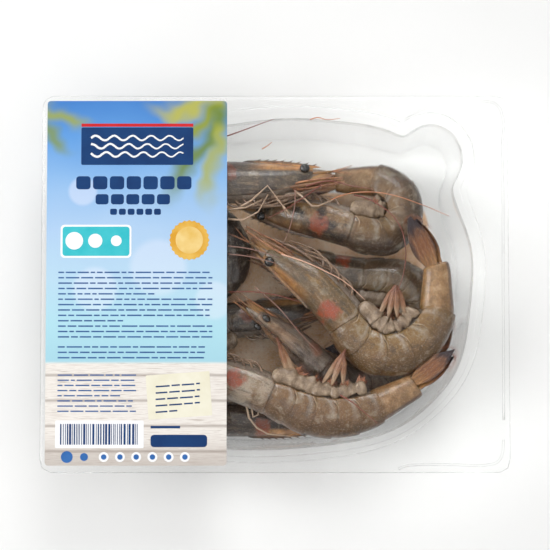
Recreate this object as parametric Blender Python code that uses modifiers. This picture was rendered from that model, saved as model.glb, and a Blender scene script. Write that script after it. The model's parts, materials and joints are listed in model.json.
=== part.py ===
"""A clear tray of nine raw shrimp, closed with a clear film that carries a printed label.

Metres, +Z up. The tray stands on its floor, with the origin under the middle of the pack.
"""

import math

import bmesh
import bpy
from mathutils import Matrix, Vector

MM = 0.001

# The pack, seen from above: +X is to the right, +Y away from the viewer.
PACK_WIDTH = 192 * MM
PACK_DEPTH = 155 * MM
PACK_CORNER = 5 * MM
SHEET = 0.6 * MM
FLANGE_Z = 37.0 * MM
GAP = 0.3 * MM

# The seal bead runs round the cavity between these two distances from its edge.
BEAD_NEAR = 2.6 * MM
BEAD_FAR = 6.0 * MM
BEAD_RISE = 0.8 * MM
BEAD_SLOPE = 0.5 * MM
RIM_WIDTH = 2.6 * MM
RIM_DROP = 0.6 * MM

# The cavity's wall, from its edge in to the floor.
WALL_INSET = 3.2 * MM
FLOOR_FILLET = 3.0 * MM
EDGE_FINENESS = 12
EDGE_POINTS_A_SPAN = 2
EDGE_LEAST = 0.9 * MM
RIM_CORNER_STEPS = 3

# The cavity's edge, anticlockwise from the right, in millimetres from the pack's middle. The
# lobe at the far right corner is a finger hold; the near side is one long round.
CAVITY_EDGE_MM = (
    (81.2, 8.0), (79.2, 19.5), (75.0, 31.0), (73.0, 39.0), (76.2, 46.5), (77.0, 53.5),
    (73.0, 62.0), (65.0, 65.6), (58.0, 63.6), (52.6, 60.7), (43.0, 64.2), (27.0, 66.6),
    (7.0, 68.0), (-9.0, 66.6), (-20.0, 65.2), (-34.0, 65.6), (-52.0, 64.6), (-66.0, 60.0),
    (-75.0, 50.0), (-79.6, 34.0), (-81.2, 12.0), (-80.4, -14.0), (-76.8, -32.0),
    (-68.0, -48.0), (-52.0, -60.0), (-30.0, -66.6), (-4.0, -68.0), (24.0, -65.8),
    (43.0, -62.0), (57.5, -54.5), (70.5, -41.5), (76.8, -29.0), (79.6, -12.0),
)

# The clear film, the label on it and the absorbent pad under the shrimp.
FILM = 0.2 * MM
FILM_INSET = 0.5 * MM
LABEL = 0.2 * MM
LABEL_LEFT, LABEL_RIGHT = -93.6 * MM, -19.7 * MM
LABEL_NEAR, LABEL_FAR = -74.5 * MM, 75.0 * MM
LABEL_CORNER = 1.4 * MM
PAD = 1.2 * MM
PAD_LEFT, PAD_RIGHT = -58 * MM, 66 * MM
PAD_NEAR, PAD_FAR = -42 * MM, 41.5 * MM
PAD_CORNER = 16 * MM

# A shrimp's sections along its body, from the front of the head to the end of the tail fan.
EYE_X = 12 * MM
CARAPACE = 40 * MM
NAPE = EYE_X + CARAPACE / 2
SEGMENT = 9.4 * MM
SEGMENTS = 5
SIXTH = 19 * MM
FAN = 24 * MM
HIND = EYE_X + CARAPACE
SIXTH_START = HIND + SEGMENTS * SEGMENT
FAN_START = SIXTH_START + SIXTH
BODY_LENGTH = FAN_START + FAN
RING_SIDES = 8
ROUNDING = 1.05
SPINE_STEP = 1.5 * MM
JOINT_REACH = 4.2 * MM

# Head and carapace: distance along the body, then top, bottom and half width, in mm.
HEAD_SECTIONS = (
    (1.0, 5.6, 3.0, 1.3),
    (7.0, 6.5, 0.2, 2.8),
    (14.0, 7.3, -2.6, 4.2),
    (23.0, 8.5, -6.4, 6.7),
    (35.0, 9.4, -9.2, 8.0),
    (46.0, 9.8, -9.6, 8.2),
    (52.0, 9.9, -8.8, 8.0),
)
# Hind end of each abdominal segment: top, bottom with its side plates, and half width, in mm.
SEGMENT_ENDS = (
    (10.8, -9.8, 7.8),
    (11.5, -10.4, 7.8),
    (11.5, -10.2, 7.6),
    (10.8, -9.6, 7.2),
    (9.4, -8.2, 6.4),
)
SIXTH_SECTIONS = ((0.4, 8.2, -5.6, 5.4), (18.6, 6.2, -4.6, 3.8))
TAIL_ROOT = (2.5, 3.4, -1.4, 2.4)
SHELL_LAP = 0.5
LAP_LENGTH = 0.35

# Small features of one shrimp, in mm.
EYE_HEIGHT = 6.2
EYE_SIDE = 3.4
EYE_RADIUS = 2.1
CREST_FRONT, CREST_BACK = 6.0, 36.0
CREST_RISE = 1.7
TOOTH_RISE = 0.7
TEETH = 7
FLAT_ANGLE = math.radians(1)
LEG_PAIRS = 2
LEG_RADIUS = 0.8
SWIMMERET_TIP = -11.6

# Each shrimp: the place of its eye seen from above and the way that the body runs back from it,
# in millimetres and degrees; the bend at each joint from the carapace to the fan; the height of
# the mid-line at the front, carapace's end, third segment, fan's root and fan's end; the roll of
# head and tail; its size, and how far its sides are pressed flat. The back is on the right of
# the way unless flipped.
SHRIMP = {
    "shrimp_far": dict(
        at=(12.4, 47.7), way=179.9, bends=(0.1, 5.9, 9.7, 13.2, 16.1, 16.6, 16.1, 13.9),
        heights=(30.8, 29.3, 27.6, 27.9, 27.3), rolls=(0, 0), size=0.98, flat=1,
    ),
    "shrimp_curled": dict(
        at=(-5.2, 29.1), way=-15.9, bends=(0.6, -3, 21.4, 43.6, 52.7, 45.2, 32.6, 4.3),
        heights=(15.4, 24.1, 17.3, 13.5, 16.4), rolls=(0, 0), size=0.925, flat=1,
    ),
    "shrimp_middle": dict(
        at=(0.9, 15.2), way=-9.5, bends=(0.2, 5.5, -6.1, -24.5, -39.2, -42.6, -42.2, -20.7),
        heights=(10.1, 9.9, 9.5, 9.7, 9), rolls=(0, 0), size=0.92, flat=0.9, flipped=True,
    ),
    "shrimp_diagonal": dict(
        at=(-2.4, 9.2), way=-40.3, bends=(-8.3, -11.1, 27.8, 39.4, 27.5, 24.9, 28, 27.5),
        heights=(27.5, 27.5, 27.9, 29, 31.1), rolls=(0, 0), size=1.012, flat=1,
    ),
    "shrimp_near": dict(
        at=(-40.3, -36.8), way=-20.2, bends=(-0.4, -4.3, 2.5, 14.6, 11.7, 13.9, 8.3, 12.2),
        heights=(28.6, 28.4, 28.6, 27.7, 28.7), rolls=(0, 0), size=0.962, flat=0.95,
    ),
    "shrimp_wall": dict(
        at=(11.9, -60.8), way=178.8, bends=(-1, -5, -8, -10.4, -10.3, -9.8, -11.5, -17.2),
        heights=(9.6, 9.3, 9.9, 9.6, 9.2), rolls=(0, 0), size=0.88, flat=0.9, flipped=True,
    ),
    "shrimp_low": dict(
        at=(-6.2, -15.2), way=-40, bends=(0.1, 3.9, 8.4, 13.1, 16, 17.3, 17.9, 29.8),
        heights=(28.8, 17.6, 9.2, 9.4, 9.4), rolls=(-65, 0), size=0.84, flat=0.9,
    ),
    "shrimp_under": dict(
        at=(15, -6), way=185, bends=(1.4, 6.7, -2.4, -12.6, -12.2, -13.3, -16.5, -30.3),
        heights=(8.6, 8, 8.6, 9.2, 7.4), rolls=(0, 0), size=0.86, flat=0.8,
    ),
    "shrimp_left": dict(
        at=(-55.7, 51.5), way=-30.8, bends=(0, -12.3, -25.8, -33, -36.3, -32.8, -29, -7.6),
        heights=(9.6, 9.6, 9.6, 9.6, 8.8), rolls=(0, 0), size=0.88, flat=0.9, flipped=True,
    ),
}


def clear_scene():
    """Removes what the scene holds at the start."""
    for obj in list(bpy.data.objects):
        bpy.data.objects.remove(obj)


def collection(name):
    """A new collection in the scene."""
    made = bpy.data.collections.new(name)
    bpy.context.scene.collection.children.link(made)
    return made


def material(name, colour, roughness, alpha=1.0):
    """A plain Principled material."""
    made = bpy.data.materials.new(name)
    made.use_nodes = True
    shader = made.node_tree.nodes["Principled BSDF"]
    shader.inputs["Base Color"].default_value = (*colour, 1.0)
    shader.inputs["Roughness"].default_value = roughness
    shader.inputs["Metallic"].default_value = 0.0
    shader.inputs["Alpha"].default_value = alpha
    return made


def object_of(bm, name, home, look=None):
    """Makes the bmesh an object in the collection home."""
    bmesh.ops.recalc_face_normals(bm, faces=bm.faces)
    mesh = bpy.data.meshes.new(name)
    bm.to_mesh(mesh)
    bm.free()
    obj = bpy.data.objects.new(name, mesh)
    home.objects.link(obj)
    if look:
        mesh.materials.append(look)
    return obj


def applied(obj):
    """Gives the object the mesh that its modifiers make, and takes the modifiers off."""
    graph = bpy.context.evaluated_depsgraph_get()
    mesh = bpy.data.meshes.new_from_object(obj.evaluated_get(graph))
    obj.modifiers.clear()
    obj.data = mesh
    return obj


def curve_as_mesh(curve, home):
    """Turns a curve into a closed mesh object, its caps welded on, and removes the curve."""
    bpy.context.view_layer.update()
    graph = bpy.context.evaluated_depsgraph_get()
    mesh = bpy.data.meshes.new_from_object(curve.evaluated_get(graph))
    bm = bmesh.new()
    bm.from_mesh(mesh)
    bmesh.ops.remove_doubles(bm, verts=bm.verts, dist=0.00001)
    bm.transform(curve.matrix_world)
    name = curve.name
    bpy.data.objects.remove(curve)
    return object_of(bm, name, home)


def closed_spline(points, fineness):
    """Points along a smooth closed curve through the given ones, the same number in each span."""
    count = len(points)
    fine = []
    for index in range(count):
        before, start, end, after = (points[(index + shift) % count] for shift in (-1, 0, 1, 2))
        for part in range(fineness):
            t = part / fineness
            fine.append(
                0.5
                * (
                    2 * start
                    + (end - before) * t
                    + (2 * before - 5 * start + 4 * end - after) * t**2
                    + (3 * start - before - 3 * end + after) * t**3
                )
            )
    return fine


def offset_outline(outline, distance):
    """The outline moved outwards by a distance, or inwards by a negative one."""
    moved = []
    for index, point in enumerate(outline):
        along = outline[(index + 1) % len(outline)] - outline[index - 1]
        outwards = Vector((along.y, -along.x)).normalized()
        moved.append(point + outwards * distance)
    return moved


def relaxed(ring, rounds):
    """The ring with each point moved towards its neighbours, which rounds tight corners."""
    for _ in range(rounds):
        count = len(ring)
        ring = [(ring[i - 1] + 2 * ring[i] + ring[(i + 1) % count]) / 4 for i in range(count)]
    return ring


def corner_points(half_width, half_depth, corner):
    """The points of a rectangle's four round corners, anticlockwise."""
    points = []
    for quarter, (side, end) in enumerate(((1, 1), (-1, 1), (-1, -1), (1, -1))):
        for step in range(RIM_CORNER_STEPS + 1):
            angle = math.radians(90 * (quarter + step / RIM_CORNER_STEPS))
            centre = Vector((side * (half_width - corner), end * (half_depth - corner)))
            points.append(centre + Vector((math.cos(angle), math.sin(angle))) * corner)
    return points


def rim_reach(way, half_width, half_depth, corners):
    """Where a ray from the middle meets a rectangle whose corners are cut by short facets."""
    reach = min(half_width / max(abs(way.x), 1e-9), half_depth / max(abs(way.y), 1e-9))
    count = RIM_CORNER_STEPS + 1
    for first in range(0, len(corners), count):
        corner = corners[first : first + count]
        for start, end in zip(corner, corner[1:]):
            span = end - start
            cross = way.x * span.y - way.y * span.x
            share = (way.y * start.x - way.x * start.y) / cross if cross else -1
            distance = (start.x * span.y - start.y * span.x) / cross if cross else -1
            if -1e-6 <= share <= 1 + 1e-6 and distance > 0:
                reach = min(reach, distance)
    return way * reach


def angle_of(point):
    """The point's angle about the middle, from 0 to a full turn."""
    return math.atan2(point.y, point.x) % (2 * math.pi)


def tray_rings():
    """The tray's upper surface as rings of points, from the floor out to the rim's edge."""
    half_width, half_depth = PACK_WIDTH / 2, PACK_DEPTH / 2
    corners = corner_points(half_width, half_depth, PACK_CORNER)
    spline = closed_spline([Vector(p) * MM for p in CAVITY_EDGE_MM], EDGE_FINENESS)
    fine = sorted(spline, key=angle_of)
    angles = [angle_of(p) for p in fine]
    edge = []
    for corner in corners:
        target = angle_of(corner)
        high = next((i for i, angle in enumerate(angles) if angle > target), 0)
        share = (target - angles[high - 1]) / (angles[high] - angles[high - 1])
        edge.append(fine[high - 1].lerp(fine[high], share))
    for point in fine[:: EDGE_FINENESS // EDGE_POINTS_A_SPAN]:
        if min((point - other).length for other in edge) > EDGE_LEAST:
            edge.append(point)
    edge.sort(key=angle_of)
    floor_z = SHEET
    profile = (
        (-WALL_INSET - FLOOR_FILLET, floor_z),
        (-WALL_INSET - 0.3 * FLOOR_FILLET, floor_z + 0.3 * FLOOR_FILLET),
        (-WALL_INSET, floor_z + FLOOR_FILLET),
        (-0.5 * MM, FLANGE_Z - 1.4 * MM),
        (0.5 * MM, FLANGE_Z),
        (BEAD_NEAR, FLANGE_Z),
        (BEAD_NEAR + BEAD_SLOPE, FLANGE_Z + BEAD_RISE),
        (BEAD_FAR - BEAD_SLOPE, FLANGE_Z + BEAD_RISE),
        (BEAD_FAR, FLANGE_Z),
    )
    rings = [
        [(*p, z) for p in relaxed(offset_outline(edge, away), max(0, round(away / MM)))]
        for away, z in profile
    ]
    for inset, z in ((RIM_WIDTH, FLANGE_Z), (0.0, FLANGE_Z - RIM_DROP)):
        scale = 1 - inset / half_depth
        rings.append(
            [
                (*(rim_reach(p.normalized(), half_width, half_depth, corners) * scale), z)
                for p in edge
            ]
        )
    return rings


def build_tray(home):
    """The thermoformed tray: one open surface, floor, wall, seal bead and flange, made a sheet."""
    bm = bmesh.new()
    loops = []
    for ring in tray_rings():
        verts = [bm.verts.new(point) for point in ring]
        loops.append(verts)
    bm.faces.new(loops[0])
    for inner, outer in zip(loops, loops[1:]):
        for index in range(len(inner)):
            after = (index + 1) % len(inner)
            bm.faces.new((inner[index], outer[index], outer[after], inner[after]))
    tray = object_of(bm, "tray", home, material("clear_plastic", (0.93, 0.95, 0.94), 0.08, 0.25))
    for face in tray.data.polygons:
        face.use_smooth = True
    sheet = tray.modifiers.new("Sheet", "SOLIDIFY")
    sheet.thickness = SHEET
    upwards = tray.data.polygons[0].normal.z > 0
    sheet.offset = -1.0 if upwards else 1.0
    return tray


def build_plate(name, home, look, box, corner, z, thickness):
    """A flat rounded rectangle lying at a height."""
    left, right, near, far = box
    data = bpy.data.curves.new(name, "CURVE")
    data.dimensions = "2D"
    data.fill_mode = "BOTH"
    data.extrude = thickness / 2
    steps = 5
    centres = (
        (right - corner, far - corner, 0),
        (left + corner, far - corner, 90),
        (left + corner, near + corner, 180),
        (right - corner, near + corner, 270),
    )
    points = []
    for x, y, start in centres:
        for step in range(steps + 1):
            angle = math.radians(start + 90 * step / steps)
            points.append((x + corner * math.cos(angle), y + corner * math.sin(angle)))
    spline = data.splines.new("POLY")
    spline.points.add(len(points) - 1)
    for point, (x, y) in zip(spline.points, points):
        point.co = (x, y, 0, 1)
    spline.use_cyclic_u = True
    curve = bpy.data.objects.new(name, data)
    home.objects.link(curve)
    curve.location.z = z + thickness / 2
    plate = curve_as_mesh(curve, home)
    plate.name = name
    plate.data.materials.append(look)
    return plate


def section_ring(bm, x, top, bottom, side, grow=0.0):
    """One ring of a shrimp's body, a rounded section upright in the plane at x, all in mm."""
    verts = []
    middle, reach = (top + bottom) / 2, (top - bottom) / 2 + grow
    for index in range(RING_SIDES):
        angle = 2 * math.pi * (index + 0.5) / RING_SIDES
        across = math.cos(angle) * (side + grow) * ROUNDING
        up = middle + math.sin(angle) * reach * ROUNDING
        verts.append(bm.verts.new(Vector((x, across, up)) * MM))
    return verts


def build_body(home):
    """Head, carapace and abdomen as one skin, each shell lapping over the one behind it."""
    bm = bmesh.new()
    rings = [section_ring(bm, *section) for section in HEAD_SECTIONS]
    x = HIND / MM
    for top, bottom, side in SEGMENT_ENDS:
        rings.append(section_ring(bm, x + LAP_LENGTH, top, bottom + 1.6, side, -SHELL_LAP))
        x += SEGMENT / MM
        rings.append(section_ring(bm, x, top, bottom, side))
    for along, top, bottom, side in (*SIXTH_SECTIONS, (SIXTH / MM + TAIL_ROOT[0], *TAIL_ROOT[1:])):
        rings.append(section_ring(bm, x + along, top, bottom, side))
    for fore, aft in zip(rings, rings[1:]):
        for index in range(RING_SIDES):
            after = (index + 1) % RING_SIDES
            bm.faces.new((fore[index], fore[after], aft[after], aft[index]))
    bm.faces.new(rings[0])
    bm.faces.new(rings[-1])
    return object_of(bm, "body", home)


def flat_blade(name, home, outline, thickness):
    """A thin plate of a flat outline given in mm, in the XY plane."""
    data = bpy.data.curves.new(name, "CURVE")
    data.dimensions = "2D"
    data.fill_mode = "BOTH"
    data.extrude = thickness / 2 * MM
    spline = data.splines.new("POLY")
    spline.points.add(len(outline) - 1)
    for point, (x, y) in zip(spline.points, outline):
        point.co = (x * MM, y * MM, 0, 1)
    spline.use_cyclic_u = True
    curve = bpy.data.objects.new(name, data)
    home.objects.link(curve)
    return curve


def crest_outline():
    """The toothed crest over the head, from the rostrum's tip back on to the carapace."""
    outline = [(CREST_BACK, 6.0), (CREST_FRONT + 8, 4.6), (CREST_FRONT, 7.4)]
    for tooth in range(TEETH):
        share = (tooth + 0.5) / TEETH
        x = CREST_FRONT + (CREST_BACK - CREST_FRONT) * share
        ridge = 8.0 + 1.6 * share + CREST_RISE * math.sin(math.pi * share)
        outline.append((x, ridge + TOOTH_RISE / 2))
        outline.append((x + 1.4, ridge - TOOTH_RISE / 2))
    outline.append((CREST_BACK, 9.0))
    return outline


def leaf_outline(length, width, root):
    """A fan blade's outline, narrow at its root and round at its end."""
    half = [(0.0, root / 2), (length * 0.4, width * 0.46), (length * 0.8, width * 0.42)]
    return half + [(length, 0.0)] + [(x, -y) for x, y in reversed(half)]


def build_fan(home):
    """Telson and the four blades beside it, half closed as on a limp tail."""
    blades = []
    root_x = FAN_START / MM - 1.0
    layout = (
        ("telson", 21.0, 5.0, 0.0, 0.0, 3.0, 0.0),
        ("inner_left", 23.0, 7.0, 55.0, 5.0, 1.2, 1.6),
        ("inner_right", 23.0, 7.0, -55.0, -5.0, 1.2, -1.6),
        ("outer_left", 24.5, 7.6, 72.0, 9.0, -1.2, 2.2),
        ("outer_right", 24.5, 7.6, -72.0, -9.0, -1.2, -2.2),
    )
    for name, length, width, turn, splay, z, y in layout:
        blade = flat_blade(name, home, leaf_outline(length, width, 3.6), 1.0)
        blade.matrix_world = (
            Matrix.Translation(Vector((root_x, y, z)) * MM)
            @ Matrix.Rotation(math.radians(splay), 4, "Z")
            @ Matrix.Rotation(math.radians(turn), 4, "X")
        )
        blades.append(curve_as_mesh(blade, home))
    return blades


def build_limbs(home):
    """Folded walking legs under the carapace and one pair of swimmerets for each segment."""
    limbs = []
    for pair in range(LEG_PAIRS):
        for side in (-1, 1):
            x = 36.0 + 9.0 * pair
            path = ((x, 3.4 * side, -6.0), (x - 5.0, 4.4 * side, -11.2), (x - 18.0, 3.8 * side, -8.2))
            data = bpy.data.curves.new("leg", "CURVE")
            data.dimensions = "3D"
            data.bevel_depth = LEG_RADIUS * MM
            data.bevel_resolution = 0
            data.use_fill_caps = True
            spline = data.splines.new("POLY")
            spline.points.add(len(path) - 1)
            for point, place in zip(spline.points, path):
                point.co = (*(Vector(place) * MM), 1)
            leg = bpy.data.objects.new("leg", data)
            home.objects.link(leg)
            limbs.append(curve_as_mesh(leg, home))
    for index, (top, bottom, side) in enumerate(SEGMENT_ENDS):
        bm = bmesh.new()
        depth = bottom + 4.0 - SWIMMERET_TIP
        bmesh.ops.create_cone(
            bm, cap_ends=True, segments=4, radius1=side * 0.6, radius2=1.6, depth=depth
        )
        place = Vector((HIND / MM + (index + 0.6) * SEGMENT / MM, 0, SWIMMERET_TIP + depth / 2))
        lean = Matrix.Rotation(math.radians(-160), 4, "Y")
        thin = Matrix.Diagonal((0.36, 1.0, 1.0, 1.0))
        bm.transform(Matrix.Scale(MM, 4) @ Matrix.Translation(place) @ lean @ thin)
        limbs.append(object_of(bm, "swimmeret", home))
    return limbs


def build_eyes(home):
    """Two round eyes under the crest."""
    eyes = []
    for side in (-1, 1):
        bm = bmesh.new()
        bmesh.ops.create_icosphere(bm, subdivisions=1, radius=EYE_RADIUS * MM)
        place = Vector((EYE_X / MM, EYE_SIDE * side, EYE_HEIGHT))
        bm.transform(Matrix.Translation(place * MM))
        eyes.append(object_of(bm, "eye", home))
    return eyes


def straight_shrimp(home):
    """One whole shrimp, stretched out along +X with its back up, joined into one body."""
    body = build_body(home)
    blade = flat_blade("crest", home, crest_outline(), 1.3)
    blade.matrix_world = Matrix.Rotation(math.radians(90), 4, "X")
    extras = [curve_as_mesh(blade, home)]
    extras += build_fan(home) + build_limbs(home) + build_eyes(home)
    tools = bpy.data.collections.new("joined")
    for extra in extras:
        home.objects.unlink(extra)
        tools.objects.link(extra)
    join = body.modifiers.new("Join", "BOOLEAN")
    join.operation = "UNION"
    join.operand_type = "COLLECTION"
    join.collection = tools
    join.solver = "EXACT"
    applied(body)
    for extra in extras:
        bpy.data.objects.remove(extra)
    bpy.data.collections.remove(tools)
    bm = bmesh.new()
    bm.from_mesh(body.data)
    bmesh.ops.dissolve_limit(bm, angle_limit=FLAT_ANGLE, verts=bm.verts, edges=bm.edges)
    bmesh.ops.triangulate(bm, faces=bm.faces)
    bm.to_mesh(body.data)
    bm.free()
    return body


def eased(value):
    """0 before 0, 1 after 1 and smooth between."""
    value = min(max(value, 0.0), 1.0)
    return value * value * (3 - 2 * value)


def height_at(along, heights):
    """The mid-line's height at a distance along the body of full size."""
    stations = (0.0, HIND, HIND + 2.5 * SEGMENT, FAN_START, BODY_LENGTH)
    for low, high, start, end in zip(stations, stations[1:], heights, heights[1:]):
        if along <= high:
            return (start + (end - start) * eased((along - low) / (high - low))) * MM
    return heights[-1] * MM


def spine_points(pose):
    """The mid-line of a shrimp as (point, roll), from the rostrum's tip to the fan's end."""
    size = pose["size"]
    joints = [NAPE, *(HIND + index * SEGMENT for index in range(SEGMENTS + 1)), FAN_START]
    steps = round(BODY_LENGTH / SPINE_STEP)
    way = math.radians(pose["way"])
    belly = Vector((-math.sin(way), math.cos(way), 0))
    if pose.get("flipped"):
        belly = -belly
    lean = math.cos(math.radians(pose["rolls"][0]))
    axis = Vector((*pose["at"], 0)) * MM + belly * EYE_HEIGHT * MM * size * lean
    place = axis - Vector((math.cos(way), math.sin(way), 0)) * EYE_X * size
    points = []
    for step in range(steps + 1):
        along = BODY_LENGTH * step / steps
        z = height_at(along, pose["heights"])
        if points:
            turned = sum(
                bend * eased((along - joint) / (2 * JOINT_REACH) + 0.5)
                for bend, joint in zip(pose["bends"], joints)
            )
            heading = way + math.radians(turned)
            rise = z - points[-1][0].z
            flat = math.sqrt(max((SPINE_STEP * size) ** 2 - rise**2, 0.0))
            place = place + Vector((math.cos(heading), math.sin(heading), 0)) * flat
        roll = pose["rolls"][0] + (pose["rolls"][1] - pose["rolls"][0]) * eased(
            (along - HIND) / (SIXTH_START - HIND)
        )
        points.append((Vector((place.x, place.y, z)), math.radians(roll)))
    return points


def guide_curve(name, points, home):
    """The curve that a shrimp is bent along."""
    data = bpy.data.curves.new(name, "CURVE")
    data.dimensions = "3D"
    data.twist_mode = "Z_UP"
    spline = data.splines.new("POLY")
    spline.points.add(len(points) - 1)
    for point, (place, roll) in zip(spline.points, points):
        point.co = (*place, 1)
        point.tilt = roll
    guide = bpy.data.objects.new(name, data)
    home.objects.link(guide)
    guide.hide_render = True
    return guide


def pose_shrimp(name, pose, pattern, home, guides, look):
    """A copy of the straight shrimp, laid on its side and bent along its own mid-line."""
    mesh = pattern.data.copy()
    mesh.name = name
    side = -90 if pose.get("flipped") else 90
    press = Matrix.Diagonal((1, pose["flat"], 1, 1))
    mesh.transform(
        Matrix.Rotation(math.radians(side), 4, "X") @ Matrix.Scale(pose["size"], 4) @ press
    )
    mesh.materials.clear()
    mesh.materials.append(look)
    shrimp = bpy.data.objects.new(name, mesh)
    home.objects.link(shrimp)
    guide = guide_curve(name + "_guide", spine_points(pose), guides)
    bend = shrimp.modifiers.new("Bend", "CURVE")
    bend.object = guide
    bend.deform_axis = "POS_X"
    return shrimp


def main():
    """Builds the whole pack."""
    clear_scene()
    pack = collection("shrimp_pack")
    guides = collection("guides")
    build_tray(pack)
    film_z = FLANGE_Z + BEAD_RISE + GAP
    half_width = PACK_WIDTH / 2 - FILM_INSET
    half_depth = PACK_DEPTH / 2 - FILM_INSET
    build_plate(
        "lid_film", pack, material("clear_film", (0.95, 0.96, 0.96), 0.05, 0.12),
        (-half_width, half_width, -half_depth, half_depth), PACK_CORNER, film_z, FILM,
    )
    build_plate(
        "label", pack, material("printed_label", (0.42, 0.66, 0.85), 0.35),
        (LABEL_LEFT, LABEL_RIGHT, LABEL_NEAR, LABEL_FAR), LABEL_CORNER, film_z + FILM + GAP, LABEL,
    )
    build_plate(
        "pad", pack, material("absorbent_pad", (0.80, 0.66, 0.52), 0.9),
        (PAD_LEFT, PAD_RIGHT, PAD_NEAR, PAD_FAR), PAD_CORNER, SHEET + GAP, PAD,
    )
    shell = material("shrimp_shell", (0.30, 0.25, 0.20), 0.35)
    pattern = straight_shrimp(guides)
    for name, pose in SHRIMP.items():
        pose_shrimp(name, pose, pattern, pack, guides, shell)
    bpy.data.objects.remove(pattern)


main()
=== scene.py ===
"""A clear tray of whole raw shrimp under clear film with a printed label, dressed for its render."""

import json
import logging
import math
from dataclasses import dataclass, field
from enum import Enum
from typing import Any, Callable, Iterable, Sequence

import bmesh
import bpy
import numpy as np
from bpy.types import ID, Material, Node, NodeSocket, NodeTree, Object
from mathutils import Matrix, Vector

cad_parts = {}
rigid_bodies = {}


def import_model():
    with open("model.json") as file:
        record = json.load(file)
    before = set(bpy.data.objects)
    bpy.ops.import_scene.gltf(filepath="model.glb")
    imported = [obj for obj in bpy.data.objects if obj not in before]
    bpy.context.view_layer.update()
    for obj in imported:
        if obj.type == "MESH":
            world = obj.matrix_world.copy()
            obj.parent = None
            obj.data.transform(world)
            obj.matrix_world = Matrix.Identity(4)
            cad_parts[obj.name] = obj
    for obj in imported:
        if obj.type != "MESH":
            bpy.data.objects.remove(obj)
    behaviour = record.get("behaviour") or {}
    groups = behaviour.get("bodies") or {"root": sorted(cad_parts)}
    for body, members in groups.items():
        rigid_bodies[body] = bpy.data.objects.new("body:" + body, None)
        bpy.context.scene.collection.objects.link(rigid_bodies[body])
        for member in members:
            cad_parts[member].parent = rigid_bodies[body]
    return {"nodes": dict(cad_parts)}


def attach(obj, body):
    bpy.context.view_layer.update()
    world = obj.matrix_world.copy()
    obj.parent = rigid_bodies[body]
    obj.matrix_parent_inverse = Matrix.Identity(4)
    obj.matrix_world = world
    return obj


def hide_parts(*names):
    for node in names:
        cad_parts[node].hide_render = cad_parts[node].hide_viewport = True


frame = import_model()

MM = 0.001
BODY = "root"
# The attribute that keeps each vertex's place before a piece is bent.
PLACE = "place"
# In millimetres: how high the pad's top lies, where the head shell ends, and one segment's length.
PAD_TOP = 2.3
HIND = 52.0
SEGMENT = 9.4
# One full turn in radians.
FULL_TURN = 6.283
log = logging.getLogger("shrimp_pack")

Point = tuple[float, float, float]
Section = tuple[float, float, float, float]


class Slot(Enum):
    """The record's material slots that new pieces are reported under."""

    TRAY = "clear_plastic"
    LABEL = "printed_label"
    PAD = "absorbent_pad"
    SHRIMP = "shrimp_shell"


# The bench: short ways to use the modelling operators.


def deselect() -> None:
    """Deselects everything, the CAD nodes too."""
    for obj in bpy.context.view_layer.objects:
        obj.select_set(False)


def pick(obj: Object) -> None:
    """Makes one object the only one selected, and active.

    Args:
        obj: The object to work on.
    """
    deselect()
    obj.select_set(True)
    bpy.context.view_layer.objects.active = obj


def primitive(operator: Callable[..., Any], name: str, **settings: Any) -> Object:
    """Adds a primitive and applies its place.

    Args:
        operator: The primitive's operator.
        name: The new object's name.
        **settings: The operator's settings.

    Returns:
        The new object, active and selected, at the origin.
    """
    deselect()
    operator(**settings)
    obj = bpy.context.active_object
    obj.name = obj.data.name = name
    bpy.ops.object.transform_apply(location=True, rotation=True, scale=True)
    return obj


def placed(name: str, data: ID) -> Object:
    """Adds an object for its data to the scene."""
    obj = bpy.data.objects.new(name, data)
    bpy.context.scene.collection.objects.link(obj)
    return obj


def modified(obj: Object, kind: str, **settings: Any) -> Object:
    """Adds a modifier and applies it.

    Args:
        obj: The object.
        kind: The modifier's type.
        **settings: Its settings.

    Returns:
        The same object.
    """
    pick(obj)
    modifier = obj.modifiers.new(kind.title(), kind)
    for key, value in settings.items():
        setattr(modifier, key, value)
    bpy.ops.object.modifier_apply(modifier=modifier.name)
    return obj


def rounded(obj: Object, levels: int = 1) -> Object:
    """Applies a subdivision surface."""
    return modified(obj, "SUBSURF", levels=levels, render_levels=levels)


def shelled(obj: Object, thickness: float, offset: float = -1.0) -> None:
    """Gives an open surface a wall.

    Args:
        obj: The open surface, facing outwards.
        thickness: The wall.
        offset: -1 for a wall inside the surface.
    """
    modified(obj, "SOLIDIFY", thickness=thickness, offset=offset, use_even_offset=False)


def smooth(obj: Object, degrees: float) -> None:
    """Shades the object smooth, with edges sharper than the angle kept."""
    pick(obj)
    bpy.ops.object.shade_smooth_by_angle(angle=math.radians(degrees))


def face_outwards(obj: Object) -> None:
    """Makes the normals consistent, with the highest face pointing up.

    Args:
        obj: The object.
    """
    pick(obj)
    bpy.ops.object.mode_set(mode="EDIT")
    bpy.ops.mesh.select_all(action="SELECT")
    bpy.ops.mesh.normals_make_consistent(inside=False)
    bpy.ops.object.mode_set(mode="OBJECT")
    top = max(obj.data.polygons, key=lambda face: face.center.z)
    if top.normal.z <= 0:
        bpy.ops.object.mode_set(mode="EDIT")
        bpy.ops.mesh.select_all(action="SELECT")
        bpy.ops.mesh.flip_normals()
        bpy.ops.object.mode_set(mode="OBJECT")


def joined(parts: Sequence[Object], name: str) -> Object:
    """Joins objects into the first of them.

    Args:
        parts: The objects.
        name: The joined object's name.

    Returns:
        The joined object.
    """
    pick(parts[0])
    for part in parts:
        part.select_set(True)
    bpy.ops.object.join()
    whole = bpy.context.active_object
    whole.name = whole.data.name = name
    return whole


def coated(obj: Object, material: Material) -> None:
    """Gives the whole object one material."""
    obj.data.materials.clear()
    obj.data.materials.append(material)


def coordinates(obj: Object) -> np.ndarray:
    """The object's vertices as an array of rows."""
    flat = np.zeros(len(obj.data.vertices) * 3)
    obj.data.vertices.foreach_get("co", flat)
    return flat.reshape(-1, 3)


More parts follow.
